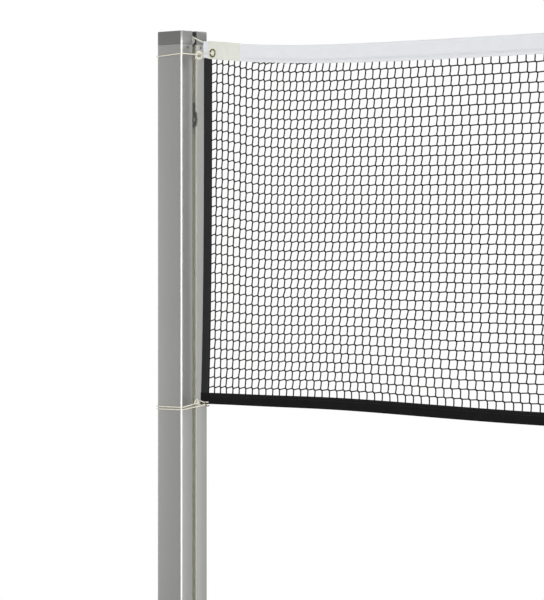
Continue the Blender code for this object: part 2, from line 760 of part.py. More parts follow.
def make_end_patch(parts, cutters):
    """Reinforcement folded over the end of the top tape, a clearance outside it."""
    section = fold_section(TOP_TAPE_DEPTH, HEAD_CORD_RADIUS, leaf_gap, HEAD_SHOULDER, TAPE_SHEET + GAP)

    def place(along, across, inward):
        return (along, across, top_line(from_middle(along)) - inward)

    stations = [net_end_x + from_end for from_end in patch_stations()]
    patch = folded_sheet("end_patch", stations, section, place, parts)
    return boolean(patch, grommet_cutter("patch_hole_cutter", grommet_x, cutters), "DIFFERENCE")


def make_grommet(parts):
    """Brass eyelet: front flange, barrel and the edge that is turned out over the washer."""
    seat = grommet_seat() + GAP
    face = seat + GROMMET_FLANGE
    hole = GROMMET_HOLE_RADIUS
    barrel = hole + GROMMET_WALL
    curl = barrel + GROMMET_CURL
    curl_seat = seat + WASHER_THICKNESS + GAP
    ease = GROMMET_EASE
    profile = [(hole, -face + ease), (hole + ease, -face), (GROMMET_RADIUS - ease, -face)]
    profile += [(GROMMET_RADIUS, -face + ease), (GROMMET_RADIUS, -seat), (barrel, -seat)]
    profile += [(barrel, curl_seat), (curl, curl_seat), (curl, face)]
    profile += [(hole + ease, face), (hole, face - ease)]
    place = (grommet_x, 0.0, grommet_height())
    return shade(turned("grommet", list(reversed(profile)), place, "Y", parts))


def make_grommet_washer(parts):
    seat = grommet_seat() + GAP
    inner = GROMMET_HOLE_RADIUS + GROMMET_WALL + GAP
    outer = seat + WASHER_THICKNESS
    profile = [(inner, outer), (GROMMET_RADIUS, outer), (GROMMET_RADIUS, seat), (inner, seat)]
    return shade(turned("grommet_washer", profile, (grommet_x, 0.0, grommet_height()), "Y", parts))


# Pieces that run the length of the net

def make_top_tape(parts, cutters):
    section = fold_section(TOP_TAPE_DEPTH, HEAD_CORD_RADIUS, leaf_gap, HEAD_SHOULDER)

    def place(along, across, inward):
        return (along, across, top_line(along) - inward)

    tape = folded_sheet("top_tape", head_stations(), section, place, parts)
    for name, side in (("left", -1), ("right", 1)):
        hole_x = side * from_middle(grommet_x)
        boolean(tape, grommet_cutter(name + "_tape_hole_cutter", hole_x, cutters), "DIFFERENCE")
    return tape


def make_bottom_tape(parts):
    section = fold_section(BOTTOM_TAPE_DEPTH, FOOT_CORD_RADIUS, leaf_gap, FOOT_SHOULDER)

    def place(along, across, inward):
        return (along, across, bottom_line(along) + inward)

    stations = end_weighted(TAPE_STATIONS, net_half + EDGE_LEAN)
    return folded_sheet("bottom_tape", stations, section, place, parts)


def make_netting(parts):
    """A flat grid of cord, tucked between the leaves of all four tapes."""
    bm = bmesh.new()
    rows = []
    for row in range(MESH_ROWS + 1):
        rise = row / MESH_ROWS
        reach = from_middle(edge_x(rise) + SIDE_TAPE_DEPTH - MESH_TUCK)
        line = []
        for column in range(MESH_COLUMNS + 1):
            x = reach * (2 * column / MESH_COLUMNS - 1)
            low = panel_low(x) - MESH_TUCK
            high = panel_high(x) + MESH_TUCK
            line.append(bm.verts.new((x, 0.0, low + (high - low) * rise)))
        rows.append(line)
    for line, above in zip(rows, rows[1:]):
        for column in range(MESH_COLUMNS):
            bm.faces.new((line[column], line[column + 1], above[column + 1], above[column]))
    netting = mesh_object("netting", bm, parts)
    wire = netting.modifiers.new("strands", "WIREFRAME")
    wire.thickness = MESH_STRAND
    wire.use_boundary = True
    wire.use_replace = True
    wire.use_even_offset = True
    return netting


def headline_half():
    """The net cord from the roller's back, over it and into the tape's end, in the end frame."""
    entry = (net_end_x, top_line(net_half) - head_cord_drop)
    away = (entry[0] - roller_x, entry[1] - roller_height)
    reach = math.hypot(*away)
    leave = math.degrees(math.acos(ROLLER_PITCH_RADIUS / reach) + math.atan2(away[1], away[0]))
    over = arc(roller_x, roller_height, ROLLER_PITCH_RADIUS, 180, leave, 8)
    return [(x, 0.0, z) for x, z in over]


def make_headline_cord(parts):
    half = [(x - post_x, y, z) for x, y, z in headline_half()]
    middle = [(x, 0.0, top_line(x) - head_cord_drop) for x in head_stations()]
    other = [(-x, y, z) for x, y, z in reversed(half)]
    return tube("headline_cord", half + middle + other, HEAD_CORD_RADIUS, parts)


def make_bottom_cord(parts, cutters):
    """Cord in the bottom tape, with a closed loop standing out of each end."""
    loop_x, loop_z = foot_loop_centre()
    joint_x = from_middle(loop_x + FOOT_LOOP_RADIUS)
    along = [-joint_x] + end_weighted(TAPE_STATIONS, net_half + EDGE_LEAN) + [joint_x]
    points = [(x, 0.0, bottom_line(x) + foot_cord_rise) for x in along]
    cord = as_mesh(tube("bottom_cord", points, FOOT_CORD_RADIUS, parts))
    for name, side in (("left", -1), ("right", 1)):
        centre = side * from_middle(loop_x)
        ring = [(centre + dx, 0.0, loop_z + dz) for dx, dz in arc(0, 0, FOOT_LOOP_RADIUS, 0, 360, 16)[:-1]]
        loop = as_mesh(tube(name + "_foot_loop", ring, FOOT_LOOP_CORD_RADIUS, cutters, cyclic=True))
        boolean(cord, hide_cutter(loop), "UNION")
    return shade(cord, 50)


# Assembly

def both_ends(piece, material, frames):
    """Place a finished piece made in the end frame at both ends, on one shared mesh."""
    base = piece.name
    piece = as_mesh(piece)
    finish(piece, material, frames["left"])
    piece.name = "left_" + base
    twin = piece.copy()
    twin.name = "right_" + base
    twin.parent = frames["right"]
    for collection in piece.users_collection:
        collection.objects.link(twin)


def main():
    clear_scene()
    parts = make_collection("badminton_net_set")
    cutters = make_collection("badminton_net_cutters")

    anodised = make_material("satin_anodised_aluminium", (0.43, 0.43, 0.41), 0.38, 0.9)
    cap_grey = make_material("cap_grey_plastic", (0.17, 0.17, 0.165), 0.55)
    foot_black = make_material("foot_black_plastic", (0.03, 0.03, 0.03), 0.6)
    nylon = make_material("roller_nylon", (0.62, 0.61, 0.57), 0.45)
    steel = make_material("bright_steel", (0.55, 0.55, 0.55), 0.3, 1.0)
    black_metal = make_material("slider_black_aluminium", (0.10, 0.10, 0.095), 0.5, 0.6)
    brass = make_material("grommet_brass", (0.62, 0.50, 0.22), 0.3, 1.0)
    tie_cord = make_material("cream_tie_cord", (0.80, 0.77, 0.66), 0.85)
    head_cord = make_material("cream_head_cord", (0.82, 0.79, 0.70), 0.85)
    foot_cord = make_material("black_foot_cord", (0.02, 0.02, 0.022), 0.85)
    white_tape = make_material("white_top_tape", (0.80, 0.81, 0.86), 0.8)
    patch_cream = make_material("cream_patch", (0.78, 0.78, 0.70), 0.8)
    black_tape = make_material("black_tape", (0.025, 0.025, 0.027), 0.85)
    mesh_black = make_material("black_mesh_cord", (0.02, 0.018, 0.018), 0.9)

    frames = {}
    for name, side, turn in (("left", -1, 0.0), ("right", 1, math.pi)):
        frame = link(bpy.data.objects.new(name + "_end", None), parts)
        frame.location.x = side * post_x
        frame.rotation_euler.z = turn
        frames[name] = frame

    pieces = [
        (make_post(parts, cutters), anodised),
        (make_post_cap(parts, cutters), cap_grey),
        (make_foot_plug(parts, cutters), foot_black),
        (make_head_roller(parts), nylon),
        (make_roller_pin(parts), steel),
        (make_cap_screw("near_cap_screw", -1, parts), steel),
        (make_cap_screw("far_cap_screw", 1, parts), steel),
        (make_cord_slider(parts, cutters), black_metal),
        (make_clamp_screw(parts, cutters), steel),
        (make_stopper_knot(parts), head_cord),
        (make_cord_drop(parts), head_cord),
        (make_upper_tie(parts, cutters), tie_cord),
        (make_lower_tie(parts, cutters), tie_cord),
        (make_side_tape(parts), black_tape),
        (make_end_patch(parts, cutters), patch_cream),
        (make_grommet(parts), brass),
        (make_grommet_washer(parts), brass),
    ]
    for piece, material in pieces:
        both_ends(piece, material, frames)
    for cutter in list(cutters.objects):
        bpy.data.objects.remove(cutter, do_unlink=True)

    finish(make_top_tape(parts, cutters), white_tape)
    finish(make_bottom_tape(parts), black_tape)
    finish(make_netting(parts), mesh_black)
    finish(make_headline_cord(parts), head_cord)
    finish(make_bottom_cord(parts, cutters), foot_cord)


main()
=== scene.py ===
"""Looks of the badminton net set: cloth tapes, knotted netting, laid cords and finishes.

The origin is at the level of the court midway between the posts, whose feet go into sockets below
it. X runs along the net and Z is up. What both ends have is made once in an end frame, with its
origin on the post's centre line at court level and its x towards the net. It is placed at the
left end, and turned half round at the right end.

Many lines of the net change near its ends. Such a change is written as (size, reach, bend), and
with the distance from the end it fades as size * exp(-(distance / reach) ** bend).
"""

import json
import math

import bpy
import numpy as np
from mathutils import Matrix, Vector

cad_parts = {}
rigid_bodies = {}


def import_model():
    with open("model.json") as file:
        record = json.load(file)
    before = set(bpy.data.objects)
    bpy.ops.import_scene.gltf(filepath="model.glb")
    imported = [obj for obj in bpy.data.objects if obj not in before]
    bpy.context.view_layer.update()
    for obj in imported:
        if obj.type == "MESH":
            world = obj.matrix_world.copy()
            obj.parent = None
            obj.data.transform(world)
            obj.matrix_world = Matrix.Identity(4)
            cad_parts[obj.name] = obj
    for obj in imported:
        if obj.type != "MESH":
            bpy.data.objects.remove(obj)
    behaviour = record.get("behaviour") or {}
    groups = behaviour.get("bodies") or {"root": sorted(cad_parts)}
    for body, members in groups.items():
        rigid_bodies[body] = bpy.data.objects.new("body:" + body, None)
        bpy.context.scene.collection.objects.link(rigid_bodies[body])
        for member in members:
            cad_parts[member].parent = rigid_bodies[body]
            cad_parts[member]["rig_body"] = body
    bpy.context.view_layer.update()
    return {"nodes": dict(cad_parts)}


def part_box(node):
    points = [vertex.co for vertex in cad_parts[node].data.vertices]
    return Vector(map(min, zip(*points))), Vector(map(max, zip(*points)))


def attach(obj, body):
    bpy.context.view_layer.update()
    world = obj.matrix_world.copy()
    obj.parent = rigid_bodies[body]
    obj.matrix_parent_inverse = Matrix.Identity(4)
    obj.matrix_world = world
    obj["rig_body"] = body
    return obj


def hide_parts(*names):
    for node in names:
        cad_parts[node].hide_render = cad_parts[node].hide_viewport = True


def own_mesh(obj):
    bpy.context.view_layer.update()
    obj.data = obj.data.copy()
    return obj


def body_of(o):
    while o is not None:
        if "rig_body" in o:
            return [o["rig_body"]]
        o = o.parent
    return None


for leftover in list(bpy.data.objects):
    bpy.data.objects.remove(leftover, do_unlink=True)
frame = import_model()

# Camera, fitted to the photograph of 544 by 600 pixels
PHOTO_HEIGHT = 600
FOCAL_PIXELS = 4017
SENSOR = 36.0
CAMERA_AZIMUTH = 45.71
CAMERA_AWAY = 8.5655  # from the left post's centre line, along the view
CAMERA_ASIDE = 0.1913  # to the right of it
CAMERA_HEIGHT = 1.0054

# Light and floor. Azimuths are in degrees from the front of the net. A distant lamp has azimuth,
# elevation, width and strength, and a near one has the end it aims at (-1 is the left end),
# azimuth, elevation, distance, size and power
AMBIENT = 0.24
LAMP_AIM_HEIGHT = 1.1
DISTANT_LAMP_AWAY = 9.0  # where only the direction counts
DISTANT_LAMPS = {"left_softbox": (16, 3, 24, 0.98), "middle_softbox": (45, 3, 24, 0.82),
                 "right_softbox": (74, 3, 24, 0.82), "side_light": (113, 8, 18, 0.70),
                 "top_light": (0, 88, 40, 0.8)}
NEAR_LAMPS = {"left_fill": (-1, -72, -3, 5.0, (1.3, 1.5), 30),
              "back_light": (0, 190, 40, 7.0, (5.0, 3.0), 280)}
FLOOR_RADIUS = 7.5
FLOOR_DROP = 0.001  # below the posts' feet

# Lines of the net
NET_SAG = 0.031
HEAD_LIFT = (0.0245, 0.195, 1.3)  # of the top edge, where the cord leaves for the roller
FOOT_LIFT = (0.0305, 0.770, 2.5)  # of the bottom edge, at the lower tie
EDGE_LEAN = 0.009  # how much nearer the post the net's lower corner is drawn
EDGE_BEND = 3.2
TOP_SETTLE = 0.0009  # of the whole top edge below the solid's
TOP_DIP = (0.085, 0.060, 0.0007)  # a small sag: its place, its reach and its depth
BOTTOM_DIP = (0.200, 0.150, 0.0017)
FIRST_ROW_DIP = (0.300, 0.100, 0.0015)

# Tapes
TAPE_SHEET = 0.0007
TOP_TAPE_DEPTH = 0.039
DEPTH_AT_POST = 0.95  # of the top tape, as a share of its depth
DEPTH_GAIN = (0.10, 0.5, 3)  # of that share, away from the post
END_TUCK = (0.06, 0.014, 2)  # loss of it at the tape's very end
BOTTOM_TAPE_DEPTH = 0.024
FOOT_DEPTH_GAIN = (0.0021, 0.45, 2)  # of the bottom tape's depth, away from the post
SIDE_TAPE_DEPTH = 0.0230
HEAD_SHOULDER = 0.004
FOOT_SHOULDER = 0.003
SIDE_SHOULDER = 0.001
SIDE_CORNER = 0.0055  # round at the side tape's upper outer corner
SIDE_TUCK = 0.003  # of the side tape into the fold of the bottom tape
SIDE_TUCK_RISE = 0.009  # the share of its height in which it thins for that
SIDE_TUCK_THIN = 0.7
GAP = 0.0003
LEAF_GAP = 0.0020  # between the two leaves of a tape, for the mesh
CROWN_STEPS = 12  # in half of a tape's fold over its cord
SHOULDER_STEPS = 4
TOP_STATIONS = 721  # places along each tape
BOTTOM_STATIONS = 561
SIDE_STATIONS = 121
PATCH_STATIONS = 61

# Wrinkles of the tapes. They start and stop at places across the tape
LEAF_PHASE = 1.7  # from leaf to leaf
WAVE_PHASE = 2.1  # from wave to wave
WAVE_WAVER = (0.6, 4.3)  # of each wave: its size, and its length in lengths of the wave
TOP_WRINKLES = {"size": 0.0013, "start": (0.004, 0.012), "stop": (0.022, 0.028), "seed": 2.0,
                "lengths": (0.027, 0.047, 0.079), "slant": 0.55}
BOTTOM_WRINKLES = {"size": 0.0006, "start": (0.004, 0.009), "stop": (0.013, 0.016), "seed": 5.0,
                   "lengths": (0.052, 0.090), "slant": 0.3}
SIDE_WRINKLES = {"size": 0.0005, "start": (0.003, 0.008), "stop": (0.016, 0.020), "seed": 8.0,
                 "lengths": (0.060, 0.110), "slant": 0.3}
PATCH_WRINKLES = {"size": 0.0005, "start": (0.005, 0.012), "stop": None, "seed": 3.0,
                  "lengths": (0.021, 0.034), "slant": -0.25}
WRINKLES_PAST_PATCH = (0.118, 0.150)
FLAT_ROUND_GROMMET = (0.010, 0.018)
END_CRUSH = (0.0010, 0.013, 2)  # of the white tape's very end
CRUSH_START = (0.004, 0.010)
CRUSH_WAVES = (1500, 240)  # along and across
DROOP = 0.0004  # of the white tape's lower edge
DROOP_WAVES = 61.0
DROOP_START = 0.02  # across the tape

# Mesh of the netting
FIRST_COLUMN = 0.0391  # from the net's end
MESH_PITCH = 0.0227  # between columns
PITCH_LOSS = (0.0065, 0.41, 1)  # how much closer the columns are at the net's ends
PITCH_GAIN = (0.0017, 0.3, 2)  # how much wider apart they are farther in, at this place
PITCH_GAIN_PLACE = 1.0
MESH_ROWS = 36  # stretches between the rows that the two tapes hide
ROW_CROWDING = (0.026, 0.12, 2)  # of the rows to the foot, away from the post, as a share
FIRST_ROW_DROP = 0.0347  # of the hidden upper row below the top edge
FIRST_ROW_LIFT = (0.0092, 0.125, 4)
FIRST_ROW_PEEKS = ((0.17, 0.040, 0.0050), (0.29, 0.030, 0.0030))  # place, reach, how far it shows
LAST_ROW_RISE = 0.0228  # of the hidden lower row above the bottom edge
LAST_ROW_LOSS = (0.0060, 0.32, 2)
MESH_TUCK = 0.004
MESH_DRIFT = (0.0139, 0.30, 1.3)  # of the columns to the net's middle, halfway down
UPPER_CURL = (0.0180, 0.135, 1)  # how far they lie back from there at the top
LOWER_CURL = (0.0250, 0.10, 1)  # and how much farther they go at the foot
CURL_START = 0.12  # from the net's end
CURL_GAIN = (1.0, 0.30, 1.4)
COLUMN_LEAN = (0.0095, 0.115, 2)  # of the first columns towards the net's lower corner
COLUMN_LEAN_BEND = 1.4
KNOT_SCATTER = 0.0003  # of the knots in the net's plane
KNOT_SWAY = 0.0005  # of the knots out of it
MESH_SWAY = (0.0015, 5.2)  # of the whole mesh: its size and its waves
STRAND_RADIUS = 0.00145
NET_KNOT_HALF_SIZE = (0.0033, 0.0019, 0.0018)
NET_KNOT_SLANT = -34  # degrees, down towards the right
NET_KNOT_CLEARANCE = 0.0020  # below the top tape, for a knot to be drawn
PANELS = 8

# How strands run from one knot to the next: (share of the way, share of the sideways step)
COLUMN_STEPS = ((0.11, 0.9), (0.46, 0.25), (0.87, -1.0))
ROW_STEPS = ((0.12, 1.0), (0.88, -1.0))
COLUMN_STEP = 0.0020
TIGHT_COLUMN = 0.35  # share of the step by the posts, where the columns hang straight
COLUMN_SLACK = (0.05, 0.30)
ROW_STEP = 0.0004
ROW_STEP_GAIN = (0.0013, 0.5, 2)  # by the posts, where the rows are slack
ROW_FLATNESS = 0.2

# Cords
HEAD_CORD_RADIUS = 0.0015
FOOT_CORD_RADIUS = 0.0011
FOOT_LOOP_CORD_RADIUS = 0.00105
STOPPER_CORD_RADIUS = 0.0013
STOPPER_DEPTH = 0.0011
TIE_RADIUS = 0.0014
THREAD_RADIUS = 0.00025
STRAND_SHARE = 0.53  # of a laid cord's radius, for each of its strands
STRANDS = 3
LAY_DIAMETERS = 2.6  # along the cord, for one turn of the strands
LAY_STEPS = 12  # in that turn
ROLLER_PITCH_RADIUS = 0.009
HEAD_CORD_INSIDE = 0.012  # how far the laid cord reaches into the tape
HEAD_CORE_START = 0.010
FOOT_INSET = 0.004  # of the bottom cord's core and seams from the tape's end
CORE_STEPS = 160

# Stitching
ZIGZAG_START = 0.118  # from the net's end
ZIGZAG_PITCH = 0.0046
ZIGZAG_EDGES = (0.0285, 0.0340)  # below the tape's upper edge
STITCH_PITCH = 0.0042
STITCH_LENGTH = 0.0030
BOTTOM_SEAMS = (("upper", 0.0215), ("lower", 0.0172))
SIDE_SEAMS = (0.0165, 0.0205)
SIDE_SEAM_LENGTH = 0.70
SIDE_SEAM_TOP = 0.994  # as a share of the net's height
PATCH_STITCH_PITCH = 0.0032
PATCH_STITCH_LENGTH = 0.0022
PATCH_SEAM_INSET = 0.003
PATCH_SEAM_START = 0.006  # below the upper edge

# Ties
UPPER_KNOT_OUT = 0.014
UPPER_KNOT_DROP = 0.0022
RING_STEPS = 32  # of two turns
RING_START = 200  # degrees
RING_RADII = (0.0046, 0.0080)
RING_WAVER = (0.0004, 1.9)
RING_OUT = (0.0032, 0.0002)
RING_TALLER = 1.08
RING_TAIL = ((-0.0002, -0.0022, 0.0012), (-0.0012, -0.0042, 0.0018))
STRAND_SPREAD = 0.8  # of the doubled strands at the net's end, as a share
GROMMET_APPROACH = 0.006  # from the grommet's middle, where they turn into it
UPPER_TIE_RISES = {"knot": -0.0012, "near": 0.0003, "left": -0.0030, "back": -0.0034, "far": -0.0012}
LOWER_KNOT_OUT = 0.013
LOWER_KNOT_SIZE = (0.0011, 0.0012)  # of its loops, and of their sway
LOWER_TIE_RISES = {"knot": -0.0004, "near": -0.0093, "left": -0.0082, "back": -0.0076, "far": -0.0046}
SECOND_TURN_RISES = {"near": -0.0142, "left": -0.0137, "back": -0.0120, "far": 0.0002}
POST_CORNER = 0.0035
CORNER_STEPS = 5
CHANNEL_MOUTH = 0.0365  # of the post's channel, from the post's centre line
CHANNEL_HALF_WIDTH = 0.0115
FOOT_LOOP_RADIUS = 0.0030


# Places read from the frame

def middle(node):
    low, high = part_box(node)
    return (low + high) / 2


def half_size(node):
    low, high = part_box(node)
    return (high - low) / 2


post_x = -middle("left_post").x
post_half = half_size("left_post").x
net_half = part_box("top_tape")[1].x
net_end_x = post_x - net_half
top_end_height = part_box("top_tape")[1].z
bottom_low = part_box("bottom_tape")[0].z
grommet_x = middle("left_grommet").x + post_x
grommet_z = middle("left_grommet").z
grommet_outside = half_size("left_grommet").y
roller_x = middle("left_head_roller").x + post_x
roller_z = middle("left_head_roller").z
floor_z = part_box("left_foot_plug")[0].z
rng = np.random.default_rng(seed=11)


# Lines of the net

def fading(distance, size, reach, bend=2):
    return size * np.exp(-(distance / reach) ** bend)


def growing(distance, size, reach, bend=2):
    return size - fading(distance, size, reach, bend)


def fade(value, low, high):
    """From 0 to 1 between two values, smoothly."""
    share = np.clip((value - low) / (high - low), 0.0, 1.0)
    return share * share * (3 - 2 * share)


def from_end(x):
    return np.maximum(net_half - np.abs(x), 0.0)


def dip(x, place, reach, depth):
    return fading(from_end(x) - place, depth, reach)


def top_line(x):
    drape = (NET_SAG - HEAD_LIFT[0]) * (x / net_half) ** 2
    lift = fading(from_end(x), *HEAD_LIFT)
    return top_end_height - TOP_SETTLE - NET_SAG + drape + lift - dip(x, *TOP_DIP)


def bottom_line(x):
    return bottom_low + fading(from_end(x), *FOOT_LIFT) - dip(x, *BOTTOM_DIP)


def tape_depth(x):
    """Depth of the top tape, which is drawn in a little towards the posts."""
    away = from_end(x)
    share = (DEPTH_AT_POST + growing(away, *DEPTH_GAIN)) * (1 - fading(away, *END_TUCK))
    return TOP_TAPE_DEPTH * share


def mesh_top(x):
    return top_line(x) - tape_depth(x)


def foot_depth(x):
    """Depth of the bottom tape, which is pulled together a little near the posts."""
    return BOTTOM_TAPE_DEPTH + growing(from_end(x), *FOOT_DEPTH_GAIN)


def mesh_bottom(x):
    return bottom_line(x) + foot_depth(x)


def edge_x(rise):
    """The net's outer edge in the end frame, at a share of its height."""
    return net_end_x - EDGE_LEAN * (1.0 - rise) ** EDGE_BEND


def side_heights(x):
    """Heights of the side tape's lower and upper end, at a place in the end frame."""
    return mesh_bottom(post_x - x) - SIDE_TUCK, mesh_top(post_x - x) - GAP


# Small helpers

def deselect():
    bpy.ops.object.select_all(action="DESELECT")


def activate(*objects):
    deselect()
    for obj in objects:
        obj.select_set(True)
    bpy.context.view_layer.objects.active = objects[0]
    return objects[0]


def link_object(name, data):
    obj = bpy.data.objects.new(name, data)
    bpy.context.scene.collection.objects.link(obj)
    return obj


def apply_modifiers(obj):
    activate(obj)
    for modifier in list(obj.modifiers):
        bpy.ops.object.modifier_apply(modifier=modifier.name)


def smooth(obj, degrees):
    activate(obj)
    bpy.ops.object.shade_smooth_by_angle(angle=math.radians(degrees))


def get_points(obj):
    points = np.empty(len(obj.data.vertices) * 3)
    obj.data.vertices.foreach_get("co", points)
    return points.reshape(-1, 3)


def set_points(obj, points):
    obj.data.vertices.foreach_set("co", np.asarray(points, dtype=float).ravel())
    obj.data.update()


def dress(obj, material):
    obj.data.materials.clear()
    obj.data.materials.append(material)
    return obj


def hand_over(piece, replaces=None, body="root"):
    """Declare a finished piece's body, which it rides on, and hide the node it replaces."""
    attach(piece, body)
    if replaces:
        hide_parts(replaces)
    return piece


ENDS = (("left", -1), ("right", 1))


def both_ends(piece, replaces=None, body="root"):
    """Place one finished piece at both ends, each with its own mesh. It moves from the end frame
    to the left end (-1) or the right end (1). Body and node names are given without their side."""
    made = []
    for name, side in ENDS:
        twin = link_object(name + "_" + piece.name, piece.data.copy())
        turn = Matrix.Rotation(0.0 if side < 0 else math.pi, 4, "Z")
        twin.data.transform(Matrix.Translation((side * post_x, 0.0, 0.0)) @ turn)
        hand_over(twin, replaces and name + "_" + replaces,
                  body if body == "root" else name + "_" + body)
        made.append(twin)
    bpy.data.objects.remove(piece, do_unlink=True)
    return made


# Cords

def distances(path):
    """How far along a path each of its points is."""
    return np.concatenate([[0.0], np.cumsum(np.linalg.norm(np.diff(path, axis=0), axis=1))])


def smooth_path(points, step):
    """Points at an even step along a curve through the given ones, which turns without swinging
    wide where a long stretch follows a short one."""
    points = np.array(points, dtype=float)
    points = np.vstack([2 * points[0] - points[1], points, 2 * points[-1] - points[-2]])
    dense = []
    for before, start, end, after in zip(points, points[1:], points[2:], points[3:]):
        first, middle, last = (math.sqrt(np.linalg.norm(b - a))
                               for a, b in ((before, start), (start, end), (end, after)))
        leave = (start - before) / first - (end - before) / (first + middle) + (end - start) / middle
        arrive = (end - start) / middle - (after - start) / (middle + last) + (after - end) / last
        leave, arrive = leave * middle, arrive * middle
        count = max(2, int(np.linalg.norm(end - start) / step * 4))
        for t in np.arange(count) / count:
            dense.append(start + leave * t + (3 * (end - start) - 2 * leave - arrive) * t ** 2
                         + (2 * (start - end) + leave + arrive) * t ** 3)
    dense.append(points[-2])
    dense = np.array(dense)
    along = distances(dense)
    count = max(2, int(round(along[-1] / step)))
    even = np.linspace(0.0, along[-1], count + 1)
    return np.column_stack([np.interp(even, along, dense[:, axis]) for axis in range(3)])


def frames_along(path):
    """A normal and a binormal at each point of a path, turned as little as possible."""
    tangents = np.gradient(path, axis=0)
    tangents /= np.linalg.norm(tangents, axis=1)[:, None]
    first = np.cross(tangents[0], (0.0, 0.0, 1.0))
    if np.linalg.norm(first) < 0.1:
        first = np.cross(tangents[0], (0.0, 1.0, 0.0))
    normals = [first / np.linalg.norm(first)]
    for tangent in tangents[1:]:
        normal = normals[-1] - tangent * np.dot(normals[-1], tangent)
        normals.append(normal / np.linalg.norm(normal))
    normals = np.array(normals)
    return normals, np.cross(tangents, normals)


def cord_curve(name, paths, radius, resolution, material):
    """Plain round cords along paths, as one mesh."""
    curve = bpy.data.curves.new(name, "CURVE")
    curve.dimensions = "3D"
    curve.bevel_depth = radius
    curve.bevel_resolution = resolution
    curve.use_fill_caps = True
    for path in paths:
        spline = curve.splines.new("POLY")
        spline.points.add(len(path) - 1)
        spline.points.foreach_set("co", np.column_stack([path, np.ones(len(path))]).ravel())
    activate(link_object(name, curve))
    bpy.ops.object.convert(target="MESH")
    bpy.ops.object.shade_smooth()
    return dress(bpy.context.view_layer.objects.active, material)


def laid_cord(name, routes, radius, material):
    """A cord of strands twisted together, along one or more routes of points."""
    lay = 2 * radius * LAY_DIAMETERS
    offset = radius * (1 - STRAND_SHARE)
    paths = []
    for route in routes:
        path = smooth_path(route, lay / LAY_STEPS)
        normals, binormals = frames_along(path)
        for strand in range(STRANDS):
            angle = 2 * math.pi * (distances(path) / lay + strand / STRANDS)[:, None]
            paths.append(path + offset * (normals * np.cos(angle) + binormals * np.sin(angle)))
    return cord_curve(name, paths, radius * STRAND_SHARE, 1, material)


def cord_core(name, line, reach, radius, material, replaces):
    """The plain core of a cord where its tape hides it."""
    x = np.linspace(-reach, reach, CORE_STEPS + 1)
    core = cord_curve(name, [np.column_stack([x, 0 * x, line(x)])], radius, 2, material)
    return hand_over(core, replaces)


# Materials

def give(tree, socket, value):
    """Give a socket another node's output, or a plain value."""
    if isinstance(value, bpy.types.NodeSocket):
        tree.links.new(value, socket)
    else:
        socket.default_value = value


def put(tree, kind, inputs=None, **settings):
    """Add a shader node with its settings and inputs."""
    node = tree.nodes.new(kind)
    for name, value in settings.items():
        setattr(node, name, value)
    for name, value in (inputs or {}).items():
        give(tree, node.inputs[name], value)
    return node


def math_node(tree, operation, first, second=0.0):
    return put(tree, "ShaderNodeMath", {0: first, 1: second}, operation=operation).outputs[0]


def noise(tree, vector, scale, detail, roughness=0.5):
    inputs = {"Vector": vector, "Scale": scale, "Detail": detail, "Roughness": roughness}
    return put(tree, "ShaderNodeTexNoise", inputs).outputs["Fac"]


def split_axes(tree, vector):
    return put(tree, "ShaderNodeSeparateXYZ", {"Vector": vector}).outputs


def use_group(tree, group, **inputs):
    named = {name.replace("_", " "): value for name, value in inputs.items()}
    return put(tree, "ShaderNodeGroup", named, node_tree=group).outputs


def effect_group(name, values, outputs):
    """A node group that takes a vector and named values, and its inner ends."""
    group = bpy.data.node_groups.new(name, "ShaderNodeTree")
    group.interface.new_socket("Vector", in_out="INPUT", socket_type="NodeSocketVector")
    for label, value in values.items():
        socket = group.interface.new_socket(label, in_out="INPUT", socket_type="NodeSocketFloat")
        socket.default_value = value
    for label in outputs:
        group.interface.new_socket(label, in_out="OUTPUT", socket_type="NodeSocketFloat")
    return group, group.nodes.new("NodeGroupInput").outputs, group.nodes.new("NodeGroupOutput").inputs


def make_mottle_group():
    """Broad soft patches and fine grain, from 0 to 1 each."""
    group, given, out = effect_group("mottle", {"Broad Scale": 12.0, "Fine Scale": 900.0},
                                     ("Broad", "Fine"))
    group.links.new(noise(group, given["Vector"], given["Broad Scale"], 3.0, 0.55), out["Broad"])
    group.links.new(noise(group, given["Vector"], given["Fine Scale"], 2.0, 0.6), out["Fine"])
    return group


def make_drawn_group():
    """Lines that run along Z, as an extrusion's die leaves them."""
    group, given, out = effect_group("drawn_lines", {"Lines": 2600.0}, ("Line",))
    squeezed = put(group, "ShaderNodeVectorMath", {0: given["Vector"], 1: (1.0, 1.0, 0.004)},
                   operation="MULTIPLY")
    group.links.new(noise(group, squeezed.outputs["Vector"], given["Lines"], 3.0), out["Line"])
    return group


def make_weave_group():
    """Plain weave on a flat coordinate in metres: threads over and under each other."""
    group, given, out = effect_group("weave", {"Threads": 1400.0}, ("Height",))
    split = split_axes(group, given["Vector"])
    waves = []
    for axis in ("X", "Y"):
        threads = math_node(group, "MULTIPLY", split[axis], given["Threads"])
        waves.append(math_node(group, "SINE", math_node(group, "MULTIPLY", threads, math.pi)))
    height = math_node(group, "ABSOLUTE", math_node(group, "ADD", *waves))
    group.links.new(math_node(group, "MULTIPLY", height, 0.5), out["Height"])
    return group


